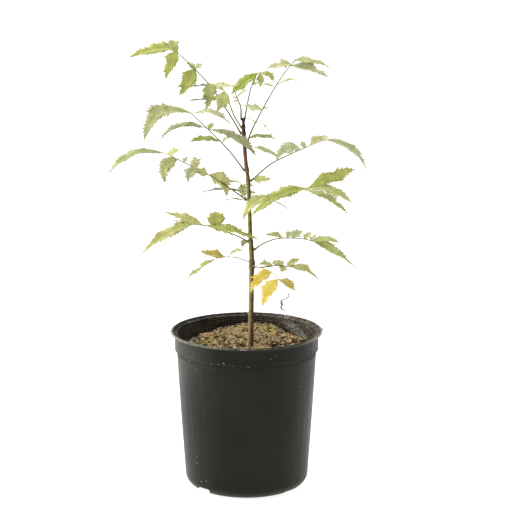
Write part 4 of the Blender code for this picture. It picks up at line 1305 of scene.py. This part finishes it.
def fibres(rng):
    """Fine root and coir fibres and threads of moss."""
    for _ in range(FIBRES):
        x, y = spot(rng, CHIP_REACH)
        heading = rng.uniform(0, math.tau)
        length = rng.uniform(3, 9)
        tone = crumb_tone(x, y, rng, SOIL_TONES[:3] + SOIL_TONES[5:])
        line = []
        for i in range(5):
            line.append(np.array([x, y, soil_height(x, y) + rng.uniform(0.3, 1.6)]))
            heading += rng.uniform(-0.7, 0.7)
            x += math.cos(heading) * length / 5
            y += math.sin(heading) * length / 5
            if math.hypot(x, y) > CRUMB_REACH:
                x, y = x * 0.96, y * 0.96
        yield *tube(line, [rng.uniform(0.1, 0.2)] * 5, 4), tone


def build_loose(name, seed, pieces, material):
    """One flat-shaded object of loose pieces."""
    gather = Gather()
    for piece in pieces(random.Random(seed)):
        gather.add(*piece)
    settle(new_object(name, gather.points, gather.faces, [material], False, gather.colours), "soil")


# ---------------- stage
def build_floor():
    """A white floor with a glow of its own, so that it's as bright as the background."""
    mesh = bpy.data.meshes.new("floor")
    corners = [(x * FLOOR_HALF, y * FLOOR_HALF, 0) for x, y in ((-1, -1), (1, -1), (1, 1), (-1, 1))]
    mesh.from_pydata(corners, [], [(0, 1, 2, 3)])
    g = Paint("floor", 0.05, 0.9)
    g.feed(g.shader["Base Color"], g.mix(g.noise(3), (0.52, 0.52, 0.52), (0.54, 0.54, 0.54)))
    g.shader["Emission Color"].default_value = (1, 1, 1, 1)
    g.shader["Emission Strength"].default_value = FLOOR_GLOW
    mesh.materials.append(g.material)
    floor = added("floor", mesh)
    floor.location.z = -FLOOR_DROP


def build_light():
    """A white studio: bright above and behind, darker behind the camera, soft boxes at the sides."""
    world = bpy.data.worlds.new("studio")
    world.use_nodes = True
    g = Nodes(world.node_tree)
    x, y, z = g.split(g.node("TexCoord", "Generated"))
    ahead = g.band(y, -0.8, 0.6, WORLD_FRONT, WORLD_BACK, "SMOOTHSTEP")
    overhead = g.band(z, 0.1, 0.9, 0, WORLD_TOP)
    sideways = g.band(x, 0.15, 0.9, 1, WORLD_RIGHT)
    background = world.node_tree.nodes["Background"].inputs
    background["Color"].default_value = (1, 1, 1, 1)
    g.feed(background["Strength"], (ahead + overhead) * sideways)
    bpy.context.scene.world = world
    for name, place, (width, height), radiance in SOFT_BOXES:
        data = bpy.data.lights.new(name, "AREA")
        data.shape = "RECTANGLE"
        data.size = width
        data.size_y = height
        data.energy = radiance * math.pi * width * height
        light = added(name, data)
        light.location = place
        light.rotation_euler = (Vector(LIT_POINT) - Vector(place)).to_track_quat("-Z", "Y").to_euler()
    bpy.context.scene.view_settings.view_transform = "Standard"


def build_camera():
    """The photograph's view: a long lens from 2.5 m away, looking a little down."""
    data = bpy.data.cameras.new("camera")
    data.sensor_width = 36
    data.lens = CAMERA_LENS
    data.clip_end = 50
    camera = added("camera", data)
    camera.location = CAMERA_PLACE
    camera.rotation_euler = (math.radians(90 - CAMERA_PITCH), 0, 0)
    bpy.context.scene.camera = camera


def main():
    build_camera()
    build_floor()
    build_light()
    blades = {}
    for name, (top_vein, under_vein, dull, light, shade) in BLADES.items():
        top = leaf_material(name + "_top", top_vein, light, shade, False)
        blades[name] = [top, leaf_material(name + "_under", under_vein, light, shade, dull)]
    stalk = grainy_material("stalk", 0.12, 0.7, (0.7, 0.66, 0.55), (0.35, 0.7, 0, 0.6), 0.4, 0.0002)
    for frond in FRONDS:
        build_frond(frond, blades["yellow" if frond.name == "frond_yellow" else "leaf"] + [stalk])
    build_stem(bark_material())
    build_pot(pot_material(), inside_material())
    build_soil(soil_material())
    crumb = grainy_material("crumb", 0.15, 0.9, (0.62, 0.56, 0.5), (0.3, 0.7), 0.5, 0.0003)
    build_loose("soil_crumbs", 11, crumbs, crumb)
    build_loose("soil_chips", 23, chips, crumb)
    build_loose("wall_grains", 71, wall_grains, crumb)
    build_loose("outside_grains", 83, outside_grains, crumb)
    build_loose("soil_fibres", 37, fibres, crumb)


main()
